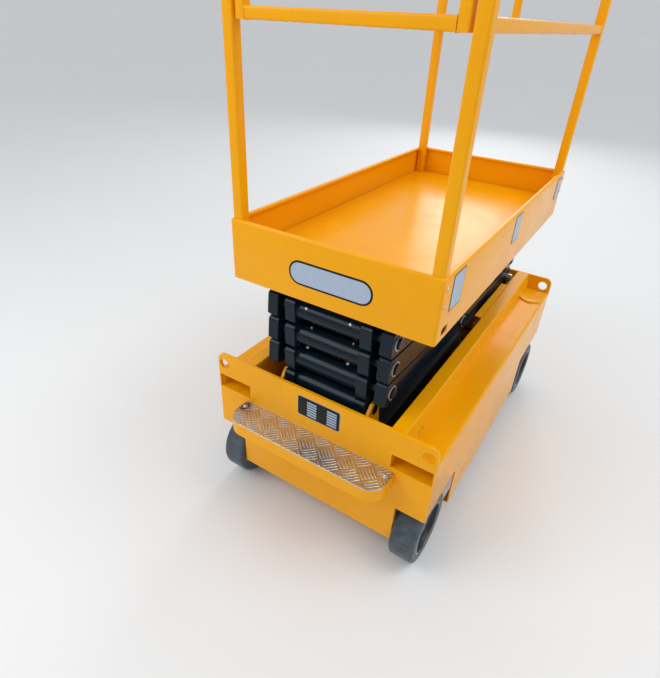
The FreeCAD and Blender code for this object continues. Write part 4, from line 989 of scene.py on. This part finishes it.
class SCISSORLIFT_OT_running_gear(bpy.types.Operator):
    """Tyres, hubs with their bolts, steering knuckles and tie rod"""

    bl_idname = "scissor_lift.running_gear"
    bl_label = "Running gear"

    def execute(self, context):
        for name in ("rear_left", "rear_right", "front_left", "front_right"):
            self.add_wheel(context.scene.scissor_lift_sizes, name)
        for node in ("knuckle_left", "knuckle_right", "tie_rod"):
            dress_node(node, 1.0, DARK)
        return {"FINISHED"}

    def add_wheel(self, sizes, name):
        body = f"wheel_{name}"
        low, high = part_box(f"tyre_{name}")
        rim = (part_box(f"hub_{name}")[1].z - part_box(f"hub_{name}")[0].z) / 2
        middle, half, radius = (low + high) / 2, (high.y - low.y) / 2, (high.z - low.z) / 2
        side = 1 if middle.y > 0 else -1
        # Local Z is the axle and points out of the machine
        place = Matrix.Translation(middle) @ Matrix(((1, 0, 0, 0), (0, 0, side, 0), (0, 1, 0, 0), (0, 0, 0, 1)))
        shape = bmesh.new()
        lathe(shape, wheel_profile(half, rim, radius, sizes.tyre_shoulder), place, 128, closed=True)
        dress_shape(f"tyre_{name}_moulded", shape, RUBBER, body,
              f"tyre_{name}")
        shape = bmesh.new()
        face = half - 16 * MM
        # Columns: distance out along the axle, radius, corner radius
        corners = [(-half + 4 * MM, 0.0155, 0), (-half + 4 * MM, rim, 0), (half - 3 * MM, rim, 0),
                   (half - 3 * MM, rim - 4 * MM, 1 * MM), (face, rim - 7 * MM, 4 * MM), (face, 0.062, 3 * MM),
                   (face - 7 * MM, 0.054, 3 * MM), (face - 7 * MM, 0.036, 4 * MM), (face, 0.033, 2 * MM),
                   (face, 0.0155, 0)]
        lathe(shape, rounded(corners, steps=4), place, 96, closed=True)
        cap = [(face - 10 * MM, 0.0), (face - 10 * MM, 0.022), (face + 3 * MM, 0.022), (face + 5 * MM, 0.020),
               (face + 6 * MM, 0.012), (face + 6.5 * MM, 0.0)]
        lathe(shape, cap, place, 48, closed=False)
        dress_shape(f"hub_{name}_pressed", shape, HUB, body,
              f"hub_{name}")
        # Bright zinc band at the rim: partly a worn steel band, partly a painted highlight for the light that the
        # edge between hub and tyre catches
        shape = bmesh.new()
        band = [(half - 8 * MM, rim - 1 * MM), (half - 8 * MM, rim + 2.4 * MM), (half - 1 * MM, rim + 2.4 * MM),
                (half - 0.4 * MM, rim + 1.4 * MM), (half - 0.4 * MM, rim - 1 * MM)]
        lathe(shape, band, place, 96, closed=True)
        dress_shape(f"rim_band_{name}", shape, ZINC, body)
        turns = [2 * math.pi * (i + 0.5) / sizes.wheel_bolts for i in range(sizes.wheel_bolts)]
        outwards = side * (face - 7 * MM)
        circle = [(middle + Vector((0.045 * math.cos(a), outwards, 0.045 * math.sin(a))), (0, side, 0), 0.9)
                  for a in turns]
        fasten(f"wheel_bolts_{name}", hex_bolt, circle, ZINC, body, seed=7)


class SCISSORLIFT_OT_scissor_stack(bpy.types.Operator):
    """Inner frames, outer arms, pins with their rings, cross tubes, grease nipples and weld beads"""

    bl_idname = "scissor_lift.scissor_stack"
    bl_label = "Scissor stack"

    def execute(self, context):
        edge = context.scene.scissor_lift_sizes.arm_edge / MM
        for stage in range(STAGES):
            dress_node(f"inner_frame_{stage}", edge, BLACK)
            dress_node(f"outer_arms_{stage}", edge, BLACK)
            dress_node(f"scissor_pins_{stage}", 1.0, BLACK)
            self.add_pin_ends(stage)
            self.add_tubes(stage)
        dress_node("chassis_rollers", 1.0, ZINC)
        return {"FINISHED"}

    def pin_places(self, stage):
        """Rear, middle and front pin of an inner frame, as (x, z)."""
        z = LEVEL_0_Z + stage * LEVEL_PITCH
        return [(PIVOT_X + share * PIN_SPAN_X, z + share * LEVEL_PITCH) for share in (0, 0.5, 1)]

    def add_pin_ends(self, stage):
        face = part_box(f"outer_arms_{stage}")[1].y
        pins = self.pin_places(stage)
        if stage == 0:
            pins = pins[1:]
        if stage == STAGES - 1:
            pins = pins[:-1]
        rows = [(Vector((x, side * face, z)), (0, side, 0), 1.0) for x, z in pins for side in SIDES]
        fasten(f"pin_ends_{stage}", pin_end, rows, ZINC, f"inner_{stage}", seed=stage)

    def add_tubes(self, stage):
        """Cross tubes between the inner arms, grease nipples on the rear one, and the welds at their ends."""
        pins = self.pin_places(stage)
        ends = [pins[0], pins[2]] + ([pins[1]] if stage > 1 else [])
        shape = bmesh.new()
        half = ARM_INNER_Y - 0.2 * MM
        for x, z in ends:
            lathe(shape, [(-half, 0), (-half, CROSS_TUBE_R), (half, CROSS_TUBE_R), (half, 0)],
                  Matrix.Translation((x, 0, z)) @ IN_XZ, 64, closed=False)
        dress_shape(f"cross_tubes_{stage}", shape, BLACK, f"inner_{stage}")
        x, z = pins[0]
        rows = []
        for row_stage, y, degrees, scale in NIPPLES:
            way = Vector((math.cos(math.radians(degrees)), 0, math.sin(math.radians(degrees))))
            if row_stage == stage:
                rows.append((Vector((x, y, z)) + way * (CROSS_TUBE_R - 0.6 * MM), way, scale))
        if rows:
            fasten(f"grease_nipples_{stage}", nipple, rows, ZINC, f"inner_{stage}")
        end_y, bead_middle = ARM_INNER_Y - 1 * MM, CROSS_TUBE_R + 0.6 * MM
        loops = [circle_y(x, side * end_y, z, bead_middle) for x, z in ends for side in SIDES]
        weld(f"cross_tube_welds_{stage}", loops, BLACK, f"inner_{stage}",
             seed=float(stage))


class SCISSORLIFT_OT_lift_cylinder(bpy.types.Operator):
    """Painted barrel and chromed rod"""

    bl_idname = "scissor_lift.lift_cylinder"
    bl_label = "Lift cylinder"

    def execute(self, context):
        dress_node("lift_cylinder_barrel", 1.4, BLACK)
        dress_node("lift_cylinder_rod", 1.2, CHROME)
        return {"FINISHED"}


def tray_area(inset, radius=0.0):
    """Corners of the platform's outline, set in from its edge."""
    return rectangle(TRAY_LOW.x + inset, TRAY_HIGH.x - inset, TRAY_LOW.y + inset, TRAY_HIGH.y - inset, radius)


def tray_ring(shape, inset, z, corner):
    """Ring of vertices round the platform, set in from its outline."""
    radius = max(corner - inset, 1 * MM)
    return [shape.verts.new((u, v, z)) for u, v in rounded(tray_area(inset, radius))]


class SCISSORLIFT_OT_platform(bpy.types.Operator):
    """Platform tray of folded sheet, its underframe and the bolts of the posts"""

    bl_idname = "scissor_lift.platform"
    bl_label = "Platform"

    def execute(self, context):
        sizes = context.scene.scissor_lift_sizes
        self.add_tray(sizes)
        dress_node("platform_underframe", 0.8, YELLOW)
        self.add_post_bolts()
        return {"FINISHED"}

    def add_tray(self, sizes):
        sheet = 3 * MM
        lip_z = TRAY_HIGH.z - TOE_FOLD_LIP
        section = rounded([
            (0, TRAY_LOW.z, 0.8 * MM), (0, TRAY_HIGH.z, sizes.sheet_bend), (TOE_FOLD, TRAY_HIGH.z, 4 * MM),
            (TOE_FOLD, lip_z, 0.8 * MM), (TOE_FOLD - sheet, lip_z, 0.8 * MM),
            (TOE_FOLD - sheet, TRAY_HIGH.z - sheet, 1 * MM),
            (sheet, TRAY_HIGH.z - sheet, sizes.sheet_bend - sheet),
            (sheet, TRAY_LOW.z, 0.8 * MM)], steps=4)
        shape = bmesh.new()
        bridge(shape, [tray_ring(shape, inset, z, sizes.tray_corner) for inset, z in section], closed=True)
        tray = new_piece("platform_tray_folded", shape)
        cutter_shape = bmesh.new()
        slot_z = LEVEL_0_Z + STAGES * LEVEL_PITCH
        slot = rectangle(PIVOT_X - 19 * MM, PIVOT_X + 19 * MM, slot_z - 11 * MM, slot_z + 11 * MM, 8 * MM)
        prism(cutter_shape, rounded(slot), IN_XZ, TRAY_LOW.y - 0.01, TRAY_HIGH.y + 0.01)
        cutter = new_piece("slot_cutter", cutter_shape)
        cut = tray.modifiers.new("slots", "BOOLEAN")
        cut.object = cutter
        cut.operation = "DIFFERENCE"
        baked(tray)
        bpy.data.objects.remove(cutter)
        smooth(tray)
        dress(tray, YELLOW, "platform", "platform_tray")
        shape = bmesh.new()
        inset = sheet + FLOOR_GAP
        floor_top = RAIL_LOW.z
        prism(shape, rounded(tray_area(inset)), IN_XY, floor_top - sheet, floor_top)
        dress_shape("platform_floor_sheet", shape, YELLOW, "platform")

    def add_post_bolts(self):
        places = [(x, side, z) for x in (REAR_POST_X, FRONT_POST_X) for side in SIDES for z in POST_BOLT_Z]
        heads = [(Vector((x, side * TRAY_HIGH.y, z)), (0, side, 0), 0.7) for x, side, z in places]
        fasten("post_bolts", dome_bolt, heads, ZINC, "platform", seed=5)
        nuts = [(Vector((x, side * POST_IN_Y, z)), (0, -side, 0), 0.8) for x, side, z in places]
        fasten("post_nuts", hex_bolt, nuts, YELLOW, "platform", seed=6)


def tube(shape, plane, place, low, high, size, corner):
    """Square tube with round corners, closed at its ends."""
    half = size / 2
    outline = rounded(rectangle(-half, half, -half, half, corner))
    prism(shape, outline, Matrix.Translation(place) @ plane, low, high)


def block(shape, low, high):
    """Plain plate between two corners."""
    prism(shape, rounded(rectangle(low[0], high[0], low[1], high[1])), IN_XY, low[2], high[2])


def bead_loops(bars, corner):
    """Loops for the weld beads round both ends of each bar, kept under the top rail's face."""
    loops = []
    for plane, place, ends, size in bars:
        for end in ends:
            loop = square_loop(plane, Vector(place) + plane.to_3x3() @ Vector((0, 0, end)), size, corner)
            loops.append([(x, y, min(z, RAIL_HIGH.z - BEAD_R)) for x, y, z in loop])
    return loops


def tube_frame(name, uprights, bars, corner, body, node, hinge=None):
    """Frame of square tube, a weld bead round each end of its bars: rows are (plane, place, ends, size)."""
    shape = bmesh.new()
    for plane, place, (low, high), size in uprights + bars:
        tube(shape, plane, Vector(place), low, high, size, corner)
    if hinge:
        hinge(shape)
    piece = soften(new_piece(f"{name}_tubes", shape), 1.0 * MM)
    dress(piece, YELLOW, body, node)
    weld(f"{name}_welds", bead_loops(bars, corner), YELLOW, body,
         radius=BEAD_R, seed=float(len(name)))


def post_hinges(shape):
    """Leaves and pins on the left rear post, under the gate's barrels."""
    x, y = JOINT_AT["gate_swing"][:2]
    for z in HINGE_Z:
        block(shape, (x - GATE_HINGE_R - 1 * MM, y - GATE_HINGE_R, z - GATE_HINGE_LENGTH),
              (x + GATE_HINGE_R, POST_IN_Y + 2 * GATE_HINGE_R, z))
        low, high = z - 1 * MM, z + GATE_HINGE_LENGTH
        pin = [(low, 0), (low, GATE_HINGE_PIN_R), (high - 1 * MM, GATE_HINGE_PIN_R),
               (high, GATE_HINGE_PIN_R - 1 * MM), (high, 0)]
        lathe(shape, pin, Matrix.Translation((x, y, 0)), 24, closed=False)


def gate_hinges(shape):
    """Leaves and barrels on the gate's hinge stile."""
    x, y = JOINT_AT["gate_swing"][:2]
    stile_x, stile_y = REAR_POST_X + RAIL_SIZE / 2, POST_IN_Y - GATE_SIDE_GAP
    for z in HINGE_Z:
        low, high = z + 0.5 * MM, z + GATE_HINGE_LENGTH
        block(shape, (stile_x - 1 * MM, stile_y - GATE_HINGE_R, low),
              (x - GATE_HINGE_PIN_R - 1 * MM, stile_y, high))
        bore = GATE_HINGE_PIN_R + 0.5 * MM
        barrel = [(low, bore), (low, GATE_HINGE_R), (high, GATE_HINGE_R), (high, bore)]
        lathe(shape, barrel, Matrix.Translation((x, y, 0)), 32, closed=True)


class SCISSORLIFT_OT_guardrails(bpy.types.Operator):
    """Posts and rails round the platform, the entry gate with its hinges, and their weld beads"""

    bl_idname = "scissor_lift.guardrails"
    bl_label = "Guardrails and gate"

    def execute(self, context):
        corner = context.scene.scissor_lift_sizes.tube_corner
        half = RAIL_SIZE / 2
        top_z = RAIL_HIGH.z - half
        post_x = (REAR_POST_X, FRONT_POST_X)
        for name, side in (("left", 1), ("right", -1)):
            y = side * POST_MID_Y
            posts = [(IN_XY, (x, y, 0), (RAIL_LOW.z, RAIL_HIGH.z), POST_SIZE) for x in post_x]
            ends = (post_x[0] + POST_SIZE / 2, post_x[1] - POST_SIZE / 2)
            rails = [(IN_YZ, (0, y, z), ends, RAIL_SIZE) for z in (MID_RAIL_Z, top_z)]
            tube_frame(f"guardrail_{name}", posts, rails, corner, "platform", f"guardrail_{name}",
                       post_hinges if side > 0 else None)
        front = FRONT_POST_X
        rails = [(IN_XZ, (front, 0, z), (-POST_IN_Y, POST_IN_Y), RAIL_SIZE) for z in (MID_RAIL_Z, top_z)]
        upright = [(IN_XY, (front, 0, 0), (MID_RAIL_Z + half, top_z - half), RAIL_SIZE)]
        tube_frame("guardrail_front", [], rails + upright, corner, "platform", "guardrail_front")
        stile_y = POST_IN_Y - GATE_SIDE_GAP - half
        stiles = [(IN_XY, (REAR_POST_X, side * stile_y, 0), (MID_RAIL_Z - half, RAIL_HIGH.z), RAIL_SIZE)
                  for side in SIDES]
        ends = (half - stile_y, stile_y - half)
        bars = [(IN_XZ, (REAR_POST_X, 0, z), ends, RAIL_SIZE)
                for z in (MID_RAIL_Z, (MID_RAIL_Z + RAIL_HIGH.z) / 2, top_z)]
        tube_frame("gate", stiles, bars, corner, "gate", "gate", gate_hinges)
        return {"FINISHED"}


class SCISSORLIFT_OT_control_box(bpy.types.Operator):
    """Control box on the front rail"""

    bl_idname = "scissor_lift.control_box"
    bl_label = "Control box"

    def execute(self, context):
        dress_node("control_box", 3.0, BLACK_PLASTIC)
        # The lid slopes down to the operator; the stick stands up through it
        back, front = Vector((BOX_LOW.x, 0, LID_LOW_Z)), Vector((BOX_HIGH.x, 0, LID_HIGH_Z))
        along = (front - back).normalized()
        facing = Vector((-along.z, 0, along.x))
        middle_y = (BOX_LOW.y + BOX_HIGH.y) / 2

        def on_lid(forward, across):
            return back + along * forward + Vector((0, middle_y + across, 0))

        stick = on_lid(0, 0)
        stick.x = BOX_HIGH.x - STICK_FROM_FRONT
        stick.z = LID_HIGH_Z - STICK_FROM_FRONT * along.z / along.x
        shape = bmesh.new()
        folds = [(-4, 0), (-4, 24), (2, 24), (5, 20.5), (8, 21.5), (11, 17.5), (14, 18.5), (17, 14.0), (20, 15.0),
                 (24, 10.2), (27, 9.2), (27, 0)]
        turn_mm(shape, folds, 40, place=Matrix.Translation(stick))
        dress_shape("stick_gaiter", shape, BLACK_PLASTIC, "platform")
        fasten("stop_knob", stop_knob, [(on_lid(34 * MM, 62 * MM), facing, 1.0)], RED_PLASTIC,
               "platform")
        buttons = [(on_lid(forward * MM, across * MM), facing, 1.0)
                   for forward, across in ((34, -62), (62, -62), (88, -62), (78, 62), (30, 26), (30, -26))]
        fasten("control_buttons", push_button, buttons, ZINC, "platform", seed=9)
        corners = [(Vector((BOX_LOW.x, middle_y + across * MM, BOX_LOW.z + up * MM)), (-1, 0, 0), 0.55)
                   for across in (-84, 84) for up in (14, 76)]
        fasten("control_box_screws", dome_bolt, corners, ZINC, "platform", seed=10)
        return {"FINISHED"}


class SCISSORLIFT_OT_signs(bpy.types.Operator):
    """Blank rating plate and blank signs"""

    bl_idname = "scissor_lift.signs"
    bl_label = "Signs"

    def execute(self, context):
        plate = bordered_sign("rating_plate", IN_YZ, RATING_PLATE, REAR_FACE_X, "chassis",
                              (PALE_FILM, BLACK_FILM), PLATE_BORDER)
        self.add_plate_bars(plate)
        films = (BLACK_FILM, PALE_FILM)
        bordered_sign("capacity_sign", IN_YZ, CAPACITY_SIGN, TRAY_LOW.x, "platform", films, CAPACITY_BORDER)
        for i, area in enumerate(SKIRT_SIGNS):
            bordered_sign(f"skirt_sign_{i}", IN_XZ, area, TRAY_LOW.y, "platform", films, SKIRT_BORDER)
        return {"FINISHED"}

    def add_plate_bars(self, area):
        y0, y1, z0, z1 = area
        rows = []
        for column in (0.34, 0.82):
            for row in range(6):
                y, z = y1 - (y1 - y0) * column, z1 - (z1 - z0) * (0.19 + 0.135 * row)
                rows.append((Vector((REAR_FACE_X - 1.1 * MM, y, z)), (-1, 0, 0), 1.0))
        fasten("rating_plate_bars", plate_bar, rows, PALE_FILM, "chassis", twist=0.0)


def plate_bar():
    """Blank field of the rating plate."""
    shape = bmesh.new()
    outline = rectangle(-2.9 * MM, 2.9 * MM, -16 * MM, 16 * MM, 0.8 * MM)
    prism(shape, rounded(outline, steps=2), IN_XY, 0, 0.3 * MM)
    return shape


def sign(name, plane, area, corner, face, thickness, finish_and_slot, body):
    """Thin film with round corners on a flat face that looks down its axis."""
    shape = bmesh.new()
    prism(shape, rounded(rectangle(*area, corner)), plane, face - thickness, face)
    return dress(new_piece(name, shape), finish_and_slot, body)


def bordered_sign(name, plane, area, face, body, films, border):
    """A border film with a field on it, from the films of both; gives the field's area."""
    width, outer_corner, inner_corner, thickness = border
    inset = width * MM
    sign(f"{name}_border", plane, area, outer_corner * MM, face, thickness * MM, films[0], body)
    field = [area[0] + inset, area[1] - inset, area[2] + inset, area[3] - inset]
    sign(name, plane, field, inner_corner * MM, face - thickness * MM, FIELD_T, films[1], body)
    return field


class SCISSORLIFT_PT_panel(bpy.types.Panel):
    """Lists the pieces of the scissor lift"""

    bl_idname = "SCISSORLIFT_PT_panel"
    bl_label = "Scissor Lift"
    bl_space_type = "VIEW_3D"
    bl_region_type = "UI"
    bl_category = "Scissor Lift"

    def draw(self, context):
        for operator in OPERATORS:
            self.layout.operator(operator.bl_idname)
        for group in (context.scene.scissor_lift_colours, context.scene.scissor_lift_sizes):
            for name in group.bl_rna.properties.keys():
                if name not in ("rna_type", "name"):
                    self.layout.prop(group, name)


OPERATORS = (
    SCISSORLIFT_OT_stage, SCISSORLIFT_OT_chassis, SCISSORLIFT_OT_step, SCISSORLIFT_OT_running_gear,
    SCISSORLIFT_OT_scissor_stack, SCISSORLIFT_OT_lift_cylinder, SCISSORLIFT_OT_platform, SCISSORLIFT_OT_guardrails,
    SCISSORLIFT_OT_control_box, SCISSORLIFT_OT_signs,
)
CLASSES = (ScissorLiftColours, ScissorLiftSizes, *OPERATORS, SCISSORLIFT_PT_panel)


def register():
    for kind in CLASSES:
        bpy.utils.register_class(kind)
    bpy.types.Scene.scissor_lift_colours = bpy.props.PointerProperty(type=ScissorLiftColours)
    bpy.types.Scene.scissor_lift_sizes = bpy.props.PointerProperty(type=ScissorLiftSizes)


def unregister():
    del bpy.types.Scene.scissor_lift_sizes
    del bpy.types.Scene.scissor_lift_colours
    for kind in reversed(CLASSES):
        bpy.utils.unregister_class(kind)


def main():
    register()
    bpy.context.scene.view_settings.view_transform = "Standard"
    for operator in OPERATORS:
        group, name = operator.bl_idname.split(".")
        getattr(getattr(bpy.ops, group), name)()


if __name__ == "__main__":
    main()
